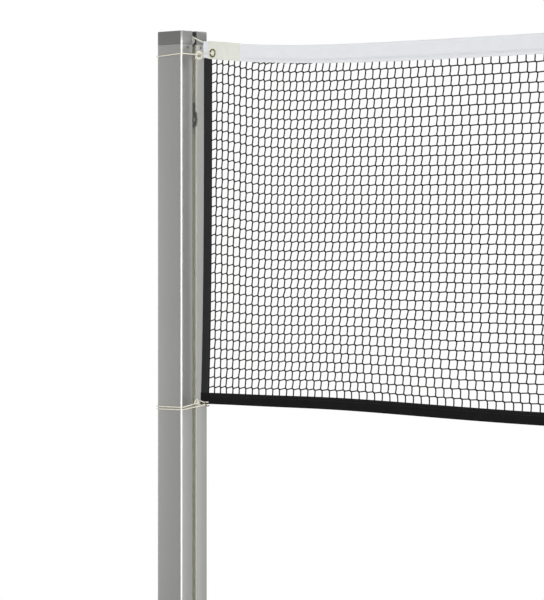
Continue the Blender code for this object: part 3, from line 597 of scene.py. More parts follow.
def make_corner_polish_and_highlight_group():
    """A mask of the upright corners of a square post, where a paler colour is painted on as a highlight and
    the metal is made smoother as polish.
    """
    group, given, out = effect_group("corner_polish_and_painted_highlight", {"Half": post_half, "Reach": POST_CORNER}, ("Mask",))
    split = split_axes(group, given["Vector"])
    from_middle = math_node(group, "ABSOLUTE", split["X"])
    aside = math_node(group, "ABSOLUTE", math_node(group, "SUBTRACT", post_x, from_middle))
    nearer = math_node(group, "MINIMUM", aside, math_node(group, "ABSOLUTE", split["Y"]))
    start = math_node(group, "SUBTRACT", given["Half"], given["Reach"])
    share = math_node(group, "DIVIDE", math_node(group, "SUBTRACT", nearer, start), given["Reach"])
    wavering = math_node(group, "MULTIPLY", noise(group, given["Vector"], 14.0, 4.0), 0.3)
    uneven = math_node(group, "ADD", math_node(group, "MULTIPLY", share, 3.2), wavering)
    mask = put(group, "ShaderNodeMapRange", {"Value": uneven, "From Min": 0.3, "From Max": 1.0})
    group.links.new(mask.outputs["Result"], out["Mask"])
    return group


def start_material(name, broad=None, fine=None):
    """A material, its shader, its texture coordinates and its mottle, if that has scales."""
    material = bpy.data.materials.new(name)
    material.use_nodes = True
    tree = material.node_tree
    places = put(tree, "ShaderNodeTexCoord").outputs
    mottled = broad and use_group(tree, mottle, Vector=places["Object"], Broad_Scale=broad, Fine_Scale=fine)
    return material, tree, tree.nodes["Principled BSDF"], places, mottled


def around(tree, mask, value, play):
    """A value that plays with a mask."""
    inputs = {"Value": mask, "To Min": value - play, "To Max": value + play}
    return put(tree, "ShaderNodeMapRange", inputs).outputs["Result"]


def two_tones(tree, shader, factor, colour, contrast):
    """Base colour between a darker shade and the full one."""
    ramp = put(tree, "ShaderNodeValToRGB", {"Fac": factor})
    for element, position, shade in zip(ramp.color_ramp.elements, (0.3, 0.7), (1.0 - contrast, 1.0)):
        element.position = position
        element.color = (*shade_of(colour, shade), 1.0)
    tree.links.new(ramp.outputs["Color"], shader.inputs["Base Color"])


def bump(tree, shader, height, distance, strength):
    node = put(tree, "ShaderNodeBump", {"Height": height, "Distance": distance, "Strength": strength})
    tree.links.new(node.outputs["Normal"], shader.inputs["Normal"])


def shade_of(colour, factor):
    return tuple(channel * factor for channel in colour)


def mix_colours(tree, factor, *colours):
    """Two colours, which may be tuples or outputs of other nodes."""
    first, second = (colour if isinstance(colour, bpy.types.NodeSocket) else (*colour, 1.0)
                     for colour in colours)
    mix = put(tree, "ShaderNodeMix", {"Factor": factor, 6: first, 7: second}, data_type="RGBA")
    return mix.outputs[2]


def mix_values(tree, factor, first, second):
    part = math_node(tree, "MULTIPLY", factor, second)
    rest = math_node(tree, "MULTIPLY", math_node(tree, "SUBTRACT", 1.0, factor), first)
    return math_node(tree, "ADD", part, rest)


def painted_channel_light_mask(tree, place):
    """A mask of the walls of the posts' channels, where a paler colour is painted on as light in the
    recess.
    """
    split = split_axes(tree, place)
    from_middle = math_node(tree, "ABSOLUTE", split["X"])
    depth = math_node(tree, "SUBTRACT", post_x + CHANNEL_MOUTH, from_middle)
    deep = math_node(tree, "LESS_THAN", depth, 2 * CHANNEL_MOUTH)
    aside = math_node(tree, "ABSOLUTE", split["Y"])
    return math_node(tree, "MULTIPLY", deep, math_node(tree, "LESS_THAN", aside, CHANNEL_HALF_WIDTH))


def make_finish(name, colour, roughness, contrast, scales, bumps, metallic=0.0, shine=0.5, play=None):
    """One colour in two close shades, with a fine grain. Play is the mask that the roughness
    follows, and by how much."""
    material, tree, shader, _, mottled = start_material(name, *scales)
    two_tones(tree, shader, mottled["Broad"], colour, contrast)
    shader.inputs["Metallic"].default_value = metallic
    shader.inputs["Specular IOR Level"].default_value = shine
    rough = around(tree, mottled[play[0]], roughness, play[1]) if play else roughness
    give(tree, shader.inputs["Roughness"], rough)
    bump(tree, shader, mottled["Fine"], *bumps)
    return material


def make_post_metal(name, colour, roughness, metallic, painted_corner_highlight, channel=None, drawn=True):
    """Satin metal, smoother along its upright corners as polish, with a paler colour painted there as a
    highlight, and with the walls of its channel, if it has one, painted paler as light in that shaded
    recess.
    """
    material, tree, shader, places, mottled = start_material(name, 7.0, 1600.0)
    place = places["Object"]
    grain = use_group(tree, drawn_lines, Vector=place, Lines=2600.0)["Line"] if drawn else mottled["Fine"]
    corner = use_group(tree, corner_polish_and_painted_highlight, Vector=place, Half=post_half, Reach=POST_CORNER)["Mask"]
    tone = mix_colours(tree, mottled["Broad"], shade_of(colour, 0.93), colour)
    # a paler colour painted on the upright corners as a highlight
    tone = mix_colours(tree, corner, tone, painted_corner_highlight)
    if channel:
        # the channel walls painted paler, as light in their shaded recess
        tone = mix_colours(tree, painted_channel_light_mask(tree, place), tone, channel)
    tree.links.new(tone, shader.inputs["Base Color"])
    shader.inputs["Metallic"].default_value = metallic
    rough = mix_values(tree, corner, around(tree, grain, roughness, 0.06), 0.30)
    tree.links.new(rough, shader.inputs["Roughness"])
    bump(tree, shader, grain, 0.00003, 0.35)
    return material


def make_cloth(name, colour, roughness, threads, depth, contrast, shine=0.5):
    """Woven tape. Its threads follow the sheet's own UV map, which is in metres."""
    material, tree, shader, places, mottled = start_material(name, 45.0, 2400.0)
    woven = use_group(tree, weave, Vector=places["UV"], Threads=threads)["Height"]
    tone = math_node(tree, "ADD", math_node(tree, "MULTIPLY", woven, 0.5),
                     math_node(tree, "MULTIPLY", mottled["Broad"], 0.5))
    two_tones(tree, shader, tone, colour, contrast)
    shader.inputs["Roughness"].default_value = roughness
    shader.inputs["Specular IOR Level"].default_value = shine
    height = math_node(tree, "ADD", woven, math_node(tree, "MULTIPLY", mottled["Fine"], 0.3))
    bump(tree, shader, height, depth, 0.6)
    return material


METAL = {"scales": (9.0, 1600.0), "bumps": (0.00003, 0.35), "play": ("Fine", 0.06)}
PLASTIC = {"contrast": 0.07, "scales": (30.0, 2200.0), "play": ("Broad", 0.05)}
YARN = {"contrast": 0.12, "scales": (260.0, 4200.0), "bumps": (0.0001, 0.6)}

mottle = make_mottle_group()
drawn_lines = make_drawn_group()
weave = make_weave_group()
corner_polish_and_painted_highlight = make_corner_polish_and_highlight_group()
# The last colour given to a post metal is a highlight painted on its upright corners, and the aluminium's
# channel colour is light painted into its channel.
aluminium = make_post_metal("satin_anodised", (0.265, 0.266, 0.255), 0.46, 0.7, (0.42, 0.42, 0.41),
                            channel=(0.74, 0.74, 0.66))
cap_grey = make_post_metal("cap_grey", (0.150, 0.150, 0.145), 0.36, 0.75, (0.36, 0.36, 0.35), drawn=False)
dull_steel = make_finish("dull_screws", (0.16, 0.16, 0.155), 0.45, 0.06, metallic=0.9, **METAL)
foot_black = make_finish("foot_black", (0.035, 0.035, 0.035), 0.55, bumps=(0.00005, 0.5), **PLASTIC)
nylon = make_finish("roller_nylon_white", (0.62, 0.61, 0.57), 0.4, bumps=(0.00002, 0.5), **PLASTIC)
steel = make_finish("plated_steel", (0.50, 0.50, 0.49), 0.28, 0.06, metallic=1.0, **METAL)
black_metal = make_finish("black_slider", (0.035, 0.035, 0.032), 0.48, 0.15, metallic=0.5, **METAL)
brass = make_finish("polished_brass", (0.20, 0.175, 0.070), 0.24, 0.40, metallic=1.0, **METAL)
white_cloth = make_cloth("white_tape_cloth", (0.80, 0.81, 0.84), 0.85, 1300.0, 0.00012, 0.05)
cream_cloth = make_cloth("cream_patch_cloth", (0.77, 0.78, 0.71), 0.75, 1000.0, 0.00010, 0.04)
black_cloth = make_cloth("black_tape_cloth", (0.022, 0.022, 0.024), 0.85, 900.0, 0.00020, 0.35, 0.2)
foot_cloth = make_cloth("black_foot_tape_cloth", (0.016, 0.016, 0.016), 0.9, 900.0, 0.00020, 0.35, 0.0)
white_thread = make_finish("white_thread", (0.84, 0.85, 0.90), 0.7, **YARN)
black_thread = make_finish("black_thread", (0.035, 0.035, 0.035), 0.6, shine=0.3, **YARN)
tie_yarn = make_finish("cream_tie_yarn", (0.78, 0.75, 0.64), 0.8, **YARN)
head_yarn = make_finish("cream_head_yarn", (0.80, 0.77, 0.68), 0.8, **YARN)
foot_yarn = make_finish("black_foot_yarn", (0.014, 0.014, 0.015), 0.8, shine=0.3, **YARN)
mesh_yarn = make_finish("black_mesh_yarn", (0.012, 0.010, 0.010), 0.8, shine=0.2, **YARN)


# Rigid pieces: a merged copy of each solid, with its round faces shaded smooth

RIGID = (("post", aluminium, "anodised_aluminium"), ("post_cap", cap_grey, "cap_plastic"),
         ("foot_plug", foot_black, "foot_plastic"), ("head_roller", nylon, "roller_nylon"),
         ("roller_pin", steel, "steel"), ("near_cap_screw", dull_steel, "steel"),
         ("far_cap_screw", dull_steel, "steel"), ("cord_slider", black_metal, "slider_metal"),
         ("clamp_screw", dull_steel, "steel"), ("grommet", brass, "brass"),
         ("grommet_washer", brass, "brass"))


def make_rigid_pieces():
    for name, _ in ENDS:
        for part, material, slot in RIGID:
            node = name + "_" + part
            source = frame["nodes"][node]
            piece = activate(link_object(node + "_finished", source.data.copy()))
            bpy.ops.object.mode_set(mode="EDIT")
            bpy.ops.mesh.select_all(action="SELECT")
            bpy.ops.mesh.remove_doubles(threshold=0.00001)
            bpy.ops.object.mode_set(mode="OBJECT")
            bpy.ops.mesh.customdata_custom_splitnormals_clear()
            smooth(piece, 32)
            hand_over(dress(piece, material), node, body_of(source)[0])


# Tapes

def whole_section(depth, cord_radius, shoulder, extra=0.0, leaf_steps=12):
    """A tape's section as (across, inward), from one free edge over the crown to the other."""
    crown = cord_radius + GAP + TAPE_SHEET / 2 + extra
    leaf = LEAF_GAP / 2 + TAPE_SHEET / 2 + extra
    centre = cord_radius + GAP + TAPE_SHEET
    points = []
    for step in range(CROWN_STEPS):
        angle = math.pi / 2 * (1 - step / CROWN_STEPS)
        points.append((crown * math.cos(angle), centre - crown * math.sin(angle)))
    for step in range(SHOULDER_STEPS + 1):
        share = step / SHOULDER_STEPS
        ease = share * share * (3 - 2 * share)
        points.append((crown + (leaf - crown) * ease, centre + shoulder * share))
    for step in range(1, leaf_steps + 1):
        points.append((leaf, centre + shoulder + (depth - centre - shoulder) * step / leaf_steps))
    half = np.array(points)
    return np.vstack([half[::-1], half[1:] * (-1, 1)])


def lay_sheet(name, stations, section, place, material):
    """A flat grid of cloth at its cut size, laid into its fold and given its thickness. Place
    turns arrays of (station, across, inward) into points in space."""
    deselect()
    bpy.ops.mesh.primitive_grid_add(x_subdivisions=len(stations) - 1, y_subdivisions=len(section) - 1,
                                    size=1.0)
    sheet = bpy.context.active_object
    sheet.name = sheet.data.name = name
    flat = get_points(sheet)
    column = np.rint((flat[:, 0] + 0.5) * (len(stations) - 1)).astype(int)
    row = np.rint((flat[:, 1] + 0.5) * (len(section) - 1)).astype(int)
    set_points(sheet, place(stations[column], section[row, 0], section[row, 1]))
    corners = np.empty(len(sheet.data.loops), dtype=np.int32)
    sheet.data.loops.foreach_get("vertex_index", corners)
    uv = np.column_stack([stations[column][corners], distances(section)[row][corners]])
    sheet.data.uv_layers[0].data.foreach_set("uv", uv.astype(np.float32).ravel())
    thickness = sheet.modifiers.new("cloth", "SOLIDIFY")
    thickness.thickness = TAPE_SHEET
    thickness.offset = 0.0
    apply_modifiers(sheet)
    smooth(sheet, 60)
    return dress(sheet, material)


def wrinkles(along, across, inward, size, start, stop, seed, lengths, slant):
    """How far a leaf swells between its seams, in soft irregular wrinkles."""
    wave = np.zeros_like(along)
    for index, length in enumerate(lengths):
        phase = (seed + np.sign(across)) * LEAF_PHASE + index * WAVE_PHASE
        bend = WAVE_WAVER[0] * np.sin(along / (length * WAVE_WAVER[1]) + phase)
        wave += np.sin(2 * math.pi * (along + slant * inward) / length + phase + bend)
    swell = size * np.clip(0.5 + wave / (2 * len(lengths)), 0.0, 1.0) * fade(inward, *start)
    return swell * (1 - fade(inward, *stop)) if stop else swell


def eased(inward, crown, full, depth):
    """Places across a tape of full depth, eased beyond the crown over its cord to another depth."""
    return np.where(inward < crown, inward, crown + (inward - crown) * (depth - crown) / (full - crown))


def hung(along, inward):
    """Height of a place on the top tape or its patch."""
    return top_line(along) - eased(inward, 2 * HEAD_CORD_RADIUS, TOP_TAPE_DEPTH, tape_depth(along))


def raised(along, inward):
    """Height of a place on the bottom tape."""
    return bottom_line(along) + eased(inward, 2 * FOOT_CORD_RADIUS, BOTTOM_TAPE_DEPTH, foot_depth(along))


def cut_width(section, full, depths):
    """Mean width of the flat sheet of a tape that has this section at its full depth."""
    return float(distances(section)[-1]) + 2 * (float(np.mean(depths)) - full)


def make_top_tape():
    section = whole_section(TOP_TAPE_DEPTH, HEAD_CORD_RADIUS, HEAD_SHOULDER)
    stations = np.linspace(-net_half, net_half, TOP_STATIONS)

    def place(along, across, inward):
        side, away = np.sign(across), from_end(along)
        puff = wrinkles(along, across, inward, **TOP_WRINKLES) * fade(away, *WRINKLES_PAST_PATCH)
        crushed = fading(away, *END_CRUSH) * fade(inward, *CRUSH_START)
        puff += crushed * (0.5 + 0.5 * np.sin(away * CRUSH_WAVES[0] + inward * CRUSH_WAVES[1] + side))
        droop = DROOP * np.sin(along * DROOP_WAVES) * fade(inward, DROOP_START, TOP_TAPE_DEPTH)
        return np.column_stack([along, across + side * puff, hung(along, inward) - droop])

    tape = lay_sheet("top_tape_cloth", stations, section, place, white_cloth)
    hand_over(tape, "top_tape")
    width = cut_width(section, TOP_TAPE_DEPTH, tape_depth(stations))


def make_bottom_tape():
    section = whole_section(BOTTOM_TAPE_DEPTH, FOOT_CORD_RADIUS, FOOT_SHOULDER)
    reach = net_half + EDGE_LEAN
    stations = np.linspace(-reach, reach, BOTTOM_STATIONS)

    def place(along, across, inward):
        puff = wrinkles(along, across, inward, **BOTTOM_WRINKLES)
        return np.column_stack([along, across + np.sign(across) * puff, raised(along, inward)])

    tape = lay_sheet("bottom_tape_cloth", stations, section, place, foot_cloth)
    hand_over(tape, "bottom_tape")
    width = cut_width(section, BOTTOM_TAPE_DEPTH, foot_depth(stations))


def make_side_tapes():
    section = whole_section(SIDE_TAPE_DEPTH, LEAF_GAP / 2 - GAP, SIDE_SHOULDER)

    def place(rise, across, inward):
        x = edge_x(rise) + inward
        low, high = side_heights(x)
        side = np.sign(across)
        across = across * (1 - SIDE_TUCK_THIN * np.clip((SIDE_TUCK_RISE - rise) / SIDE_TUCK_RISE, 0.0, 1.0))
        puff = wrinkles(rise * SIDE_SEAM_LENGTH, side, inward, **SIDE_WRINKLES)
        rounded = SIDE_CORNER * (1 - np.sqrt(1 - (1 - np.minimum(inward / SIDE_CORNER, 1.0)) ** 2))
        return np.column_stack([x, across + side * puff, low + (high - rounded - low) * rise])

    stations = np.linspace(0.0, 1.0, SIDE_STATIONS)
    tape = lay_sheet("side_tape_cloth", stations, section, place, black_cloth)
    length = float(mesh_top(net_half) - mesh_bottom(net_half)) + SIDE_TUCK
    for cloth in both_ends(tape, "side_tape"):
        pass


def patch_ends():
    low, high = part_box("left_end_patch")
    return low.x + post_x, high.x + post_x


def make_end_patches():
    section = whole_section(TOP_TAPE_DEPTH, HEAD_CORD_RADIUS, HEAD_SHOULDER, TAPE_SHEET + GAP,
                            leaf_steps=16)
    start, end = patch_ends()

    def place(along, across, inward):
        away = np.hypot(along - grommet_x, top_line(post_x - along) - inward - grommet_z)
        puff = wrinkles(along, across, inward, **PATCH_WRINKLES) * fade(away, *FLAT_ROUND_GROMMET)
        return np.column_stack([along, across + np.sign(across) * puff, hung(post_x - along, inward)])

    stations = np.linspace(start, end, PATCH_STATIONS)
    patch = lay_sheet("end_patch_cloth", stations, section, place, cream_cloth)
    width = cut_width(section, TOP_TAPE_DEPTH, tape_depth(post_x - stations))
    for cloth in both_ends(patch, "end_patch"):
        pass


# Netting

def column_starts():
    """Where the columns meet the top tape, as distances from the net's end to its middle. Past
    the pitch's last change they are spaced so that one column stands in the net's middle."""
    places = [FIRST_COLUMN]
    while places[-1] < net_half:
        place = places[-1] + MESH_PITCH / 2
        gain = fading(place - PITCH_GAIN_PLACE, *PITCH_GAIN)
        places.append(places[-1] + MESH_PITCH - fading(place, *PITCH_LOSS) + gain)
    places = np.array(places)
    stretch = (net_half - PITCH_GAIN_PLACE) / (places[-1] - PITCH_GAIN_PLACE)
    return np.where(places > PITCH_GAIN_PLACE,
                    PITCH_GAIN_PLACE + (places - PITCH_GAIN_PLACE) * stretch, places)


def first_row(x):
    """Height of the row of knots that the top tape hides."""
    lift = fading(from_end(x), *FIRST_ROW_LIFT)
    return top_line(x) - FIRST_ROW_DROP + lift - dip(x, *FIRST_ROW_DIP)


def last_row(x):
    """Height of the row of knots that the bottom tape hides."""
    return bottom_line(x) + LAST_ROW_RISE - fading(from_end(x), *LAST_ROW_LOSS)


def mesh_nodes():
    """The places of the knots, by column and row from the top."""
    starts = column_starts()
    tops = np.concatenate([-net_half + starts, (net_half - starts)[:-1][::-1]])
    fall = np.arange(MESH_ROWS + 1) / MESH_ROWS
    away = from_end(tops)
    middling = 1 - (away / net_half) ** 4
    drift = growing(away, *MESH_DRIFT) * middling
    curl = growing(np.maximum(away - CURL_START, 0.0), *CURL_GAIN) * middling
    curls = fading(1 - fall, *LOWER_CURL) - fading(fall, *UPPER_CURL)
    lean = fading(away, *COLUMN_LEAN)
    shift = drift[:, None] + np.outer(curl, curls) - np.outer(lean, fall ** COLUMN_LEAN_BEND)
    x = tops[:, None] - np.sign(tops)[:, None] * shift
    loose = np.minimum(fall, 1 - fall) > 0.5 / MESH_ROWS
    x += rng.normal(0.0, KNOT_SCATTER, x.shape)
    high, low = first_row(x), last_row(x)
    sunk = fall + np.outer(growing(away, *ROW_CROWDING), fall * (1 - fall))
    z = high + (low - high) * sunk + loose * rng.normal(0.0, KNOT_SCATTER, x.shape)
    for peek in FIRST_ROW_PEEKS:
        z[:, 0] -= dip(tops, *peek)
    sway = MESH_SWAY[0] * np.sin(tops * MESH_SWAY[1])
    y = loose * (rng.normal(0.0, KNOT_SWAY, x.shape) + sway[:, None])
    return np.stack([x, y, z], axis=2)


def strand(knots, sideways, steps):
    """A strand through a line of knots, which leaves each knot on one side and meets the next
    on the other. Sideways is the vector of a full step, or one for each stretch."""
    points = [knots[:-1]]
    for share, step in steps:
        points.append(knots[:-1] + (knots[1:] - knots[:-1]) * share + sideways * step)
    woven = np.stack(points, axis=1).reshape(-1, 3)
    return np.vstack([woven, knots[-1]])


def row_steps(knots):
    """A row runs flatter than its slope from knot to knot, and steps where it passes them."""
    steps = np.zeros((len(knots) - 1, 3))
    gain = fading(from_end(knots[:-1, 0]), *ROW_STEP_GAIN)
    steps[:, 2] = np.diff(knots[:, 2]) * ROW_FLATNESS - ROW_STEP - gain
    return steps


def small_ball(segments, size):
    """Points and faces of a ball with its poles on X, stretched to a size."""
    deselect()
    bpy.ops.mesh.primitive_uv_sphere_add(segments=segments, ring_count=4, radius=1.0)
    ball = bpy.context.active_object
    points = get_points(ball)[:, [2, 1, 0]] * size
    faces = [tuple(reversed(polygon.vertices)) for polygon in ball.data.polygons]
    bpy.data.objects.remove(ball, do_unlink=True)
    return points, faces


def net_knot():
    """A small long knot, slanted from the strands that come in to those that leave."""
    points, faces = small_ball(6, NET_KNOT_HALF_SIZE)
    slant = math.radians(NET_KNOT_SLANT)
    turn = np.array(((math.cos(slant), 0.0, -math.sin(slant)), (0.0, 1.0, 0.0),
                     (math.sin(slant), 0.0, math.cos(slant))))
    return points @ turn.T, faces


def scatter(name, points, faces, places, material, turns=None):
    """One mesh of many copies of a small shape."""
    copies = np.repeat(points[None], len(places), axis=0)
    if turns is not None:
        copies = np.einsum("nij,nkj->nki", turns, copies)
    vertices = (copies + places[:, None]).reshape(-1, 3)
    offsets = np.arange(len(places)) * len(points)
    all_faces = [tuple(index + offset for index in face) for offset in offsets for face in faces]
    mesh = bpy.data.meshes.new(name)
    mesh.from_pydata(vertices.tolist(), [], all_faces)
    piece = activate(link_object(name, mesh))
    bpy.ops.object.shade_smooth()
    return dress(piece, material)


def edge_knot(knot, side):
    """Where a row ends, tucked into the side tape."""
    rise = (knot[2] - bottom_low) / (top_end_height - bottom_low)
    tuck = SIDE_TAPE_DEPTH - MESH_TUCK
    return np.array((side * (post_x - edge_x(rise) - tuck), 0.0, knot[2]))


def make_netting():
    nodes = mesh_nodes()
    columns = len(nodes)
    slack = TIGHT_COLUMN + (1 - TIGHT_COLUMN) * fade(from_end(nodes[:, 1, 0]), *COLUMN_SLACK)
    tucks = np.array(((0.0, 0.0, MESH_TUCK), (0.0, 0.0, -MESH_TUCK)))
    bounds = np.linspace(0, columns, PANELS + 1).astype(int)
    for panel, (start, end) in enumerate(zip(bounds, bounds[1:])):
        paths = []
        for line, share in zip(nodes[start:end], slack[start:end]):
            ends = line[[0, -1]] + tucks
            sideways = np.array((COLUMN_STEP * share, 0.0, 0.0))
            paths.append(np.vstack([ends[0], strand(line, sideways, COLUMN_STEPS), ends[1]]))
        for row in range(MESH_ROWS + 1):
            line = nodes[start:min(end + 1, columns), row]
            if panel == 0:
                line = np.vstack([edge_knot(line[0], -1), line])
            if panel == PANELS - 1:
                line = np.vstack([line, edge_knot(line[-1], 1)])
            paths.append(strand(line, row_steps(line), ROW_STEPS))
        strands = cord_curve("netting_panel_%d" % (panel + 1), paths, STRAND_RADIUS, 1, mesh_yarn)
        places = nodes[start:end, :-1].reshape(-1, 3)
        places = places[places[:, 2] < mesh_top(places[:, 0]) - NET_KNOT_CLEARANCE]
        activate(strands, scatter("netting_knots", *net_knot(), places, mesh_yarn))
        bpy.ops.object.join()
        hand_over(dress(strands, mesh_yarn), "netting")


# Stitching

def stitch_row(name, places, directions, length, material):
    """Straight stitches lying along a line, one at each place."""
    points, faces = small_ball(4, (length / 2, THREAD_RADIUS * 0.8, THREAD_RADIUS))
    along = directions / np.linalg.norm(directions, axis=1)[:, None]
    out = np.tile((0.0, 1.0, 0.0), (len(places), 1))
    turns = np.stack([along, out, np.cross(along, out)], axis=2)
    return scatter(name, points, faces, places, material, turns)


def leaf_face(extra=0.0):
    """How far a folded tape's outer face stands from the net's middle."""
    return LEAF_GAP / 2 + TAPE_SHEET + extra


def on_leaf(x, side, heights, extra=0.0):
    """Points on the outer face of a leaf."""
    return np.column_stack([x, np.full_like(x, side * leaf_face(extra)), heights])


def make_top_stitching():
    """A zigzag along the lower part of the white tape, on both of its leaves."""
    reach = net_half - ZIGZAG_START
    x = np.linspace(-reach, reach, 2 * int(2 * reach / ZIGZAG_PITCH) + 1)
    inward = np.where(np.arange(len(x)) % 2 == 0, *ZIGZAG_EDGES)
    for name, side in (("near", -1), ("far", 1)):
        path = on_leaf(x, side, hung(x, inward), THREAD_RADIUS * 0.4)
        seam = cord_curve("top_tape_zigzag_" + name, [path], THREAD_RADIUS, 0, white_thread)
        hand_over(seam)


def make_bottom_stitching():
    reach = net_half + EDGE_LEAN - FOOT_INSET
    x = np.linspace(-reach, reach, int(2 * reach / STITCH_PITCH))
    slopes = np.column_stack([np.ones_like(x), np.zeros_like(x), np.gradient(bottom_line(x), x)])
    for name, side in (("near", -1), ("far", 1)):
        for row, inward in BOTTOM_SEAMS:
            seam = stitch_row("bottom_tape_stitches_%s_%s" % (name, row),
                              on_leaf(x, side, raised(x, inward)), slopes, STITCH_LENGTH, black_thread)
            hand_over(seam)


def make_side_stitching():
    """Two rows down each leaf, which follow the curve of the net's edge."""
    rises = np.linspace(2 * SIDE_TUCK_RISE, SIDE_SEAM_TOP, int(SIDE_SEAM_LENGTH / STITCH_PITCH))
    rows = []
    for inward in SIDE_SEAMS:
        x = edge_x(rises) + inward
        low, high = side_heights(x)
        rows += [on_leaf(x, side, low + (high - low) * rises) for side in (-1, 1)]
    directions = [np.gradient(row, axis=0) for row in rows]
    both_ends(stitch_row("side_tape_stitches", np.vstack(rows), np.vstack(directions), STITCH_LENGTH,
                         black_thread))


def make_patch_stitching():
    """Lines of stitches inside the patch's three free edges."""
    start, end = patch_ends()
    start, end = start + PATCH_SEAM_INSET, end - PATCH_SEAM_INSET
    lowest = TOP_TAPE_DEPTH - PATCH_SEAM_INSET
    down = np.arange(PATCH_SEAM_START, lowest, PATCH_STITCH_PITCH)
    along = np.arange(start + PATCH_STITCH_PITCH / 2, end, PATCH_STITCH_PITCH)
    up = (0.0, 0.0, 1.0)
    lines = [(np.full_like(down, start), down, up), (np.full_like(down, end), down, up),
             (along, np.full_like(along, lowest), (1.0, 0.0, 0.0))]
    places, directions = [], []
    for x, inward, direction in lines:
        for side in (-1, 1):
            places.append(on_leaf(x, side, hung(post_x - x, inward), TAPE_SHEET + GAP))
            directions.append(np.tile(direction, (len(x), 1)))
    both_ends(stitch_row("end_patch_stitches", np.vstack(places), np.vstack(directions),
                         PATCH_STITCH_LENGTH, white_thread))


# Ties and cords

def arc(centre_x, centre_y, radius, start, end, steps):
    angles = np.radians(np.linspace(start, end, steps + 1))
    return [(centre_x + radius * math.cos(a), centre_y + radius * math.sin(a)) for a in angles]


def slant_from(start):
    """The angle at which a tie from a knot lies against the post's nearest corner."""
    corner = post_half - POST_CORNER
    away_x, away_y = start[0] - corner, start[1] + corner
    radius = POST_CORNER + GAP + TIE_RADIUS
    return math.degrees(math.acos(radius / math.hypot(away_x, away_y)) - math.atan2(away_y, away_x))


def turn_of_tie(heights, near_start, far_end):
    """A tie's points once round the post's four corners, each at its own height."""
    corner = post_half - POST_CORNER
    radius = POST_CORNER + GAP + TIE_RADIUS
    corners = (("near", 1, -1, near_start, -90), ("left", -1, -1, -90, -180),
               ("back", -1, 1, 180, 90), ("far", 1, 1, 90, far_end))
    return [(x, y, heights[name]) for name, along, aside, start, end in corners
            for x, y in arc(along * corner, aside * corner, radius, start, end, CORNER_STEPS)]


def doubled_strand(knot, near_side, height):
    """A tie's route out of its knot along the near side, round and back along the far side."""
    beside = TIE_RADIUS + GAP
    far_side = [(x, -y) for x, y in reversed(near_side)]
    route = [(x, y, height) for x, y in near_side + far_side]
    return [(knot[0], -beside, knot[2])] + route + [(knot[0], beside, knot[2])]


def overhand_knot(centre, axes, size, depth, steps):
    """A closed overhand knot, whose loops lie in the plane of the first two axes."""
    turn = np.linspace(0.0, 2 * math.pi, steps + 1)
    u = np.sin(turn) + 2 * np.sin(2 * turn)
    v = np.cos(turn) - 2 * np.cos(2 * turn)
    shares = (u * size, v * size, np.sin(3 * turn) * depth)
    return np.asarray(centre) + sum(np.outer(share, axis) for share, axis in zip(shares, axes))


def facing(centre, steps):
    """Points given as (aside, up, out) from a centre, where out is towards the near side of the
    post's near corner and aside is to the net."""
    share = math.sqrt(0.5)
    x, y, z = centre
    return [(x + (aside + out) * share, y + (aside - out) * share, z + up) for aside, up, out in steps]


def rises_at(level, rises):
    return {place: level + rise for place, rise in rises.items()}


def make_upper_ties():
    """Once round the post into an open ring of two turns, then doubled through the grommet."""
    heights = rises_at(grommet_z, UPPER_TIE_RISES)
    ring_centre = (post_half + UPPER_KNOT_OUT, 0.0, grommet_z - UPPER_KNOT_DROP)
    start = (ring_centre[0], -TIE_RADIUS - GAP, heights["knot"])
    slant = slant_from(start)
    turn = [start] + turn_of_tie(heights, -slant, slant) + [(start[0], -start[1], start[2])]
    ring = []
    for step in range(RING_STEPS + 1):
        angle = math.radians(RING_START - step * 720 / RING_STEPS)
        radius, out = (first + (last - first) * step / RING_STEPS for first, last in (RING_RADII, RING_OUT))
        radius += RING_WAVER[0] * math.sin(step * RING_WAVER[1])
        ring.append((radius * math.cos(angle), radius * math.sin(angle) * RING_TALLER, out))
    last_aside, last_up, _ = ring[-1]
    ring += [(last_aside + aside, last_up + up, out) for aside, up, out in RING_TAIL]
    clear = grommet_outside + GAP + TIE_RADIUS
    bend = TIE_RADIUS + 2 * GAP
    near_side = [(net_end_x - TIE_RADIUS, -clear * STRAND_SPREAD)]
    near_side += arc(grommet_x - GROMMET_APPROACH, -clear + bend, bend, -90, 0, 4)
    routes = [turn, doubled_strand(start, near_side, grommet_z), facing(ring_centre, ring)]
    both_ends(laid_cord("upper_tie_cord", routes, TIE_RADIUS, tie_yarn), "upper_tie")


def foot_loop_centre():
    """The middle of the bottom cord's end loop, in the end frame."""
    loop_x = edge_x(0.0) - GAP - FOOT_CORD_RADIUS - FOOT_LOOP_RADIUS
    return loop_x, float(bottom_line(net_half)) + TAPE_SHEET + GAP + FOOT_CORD_RADIUS


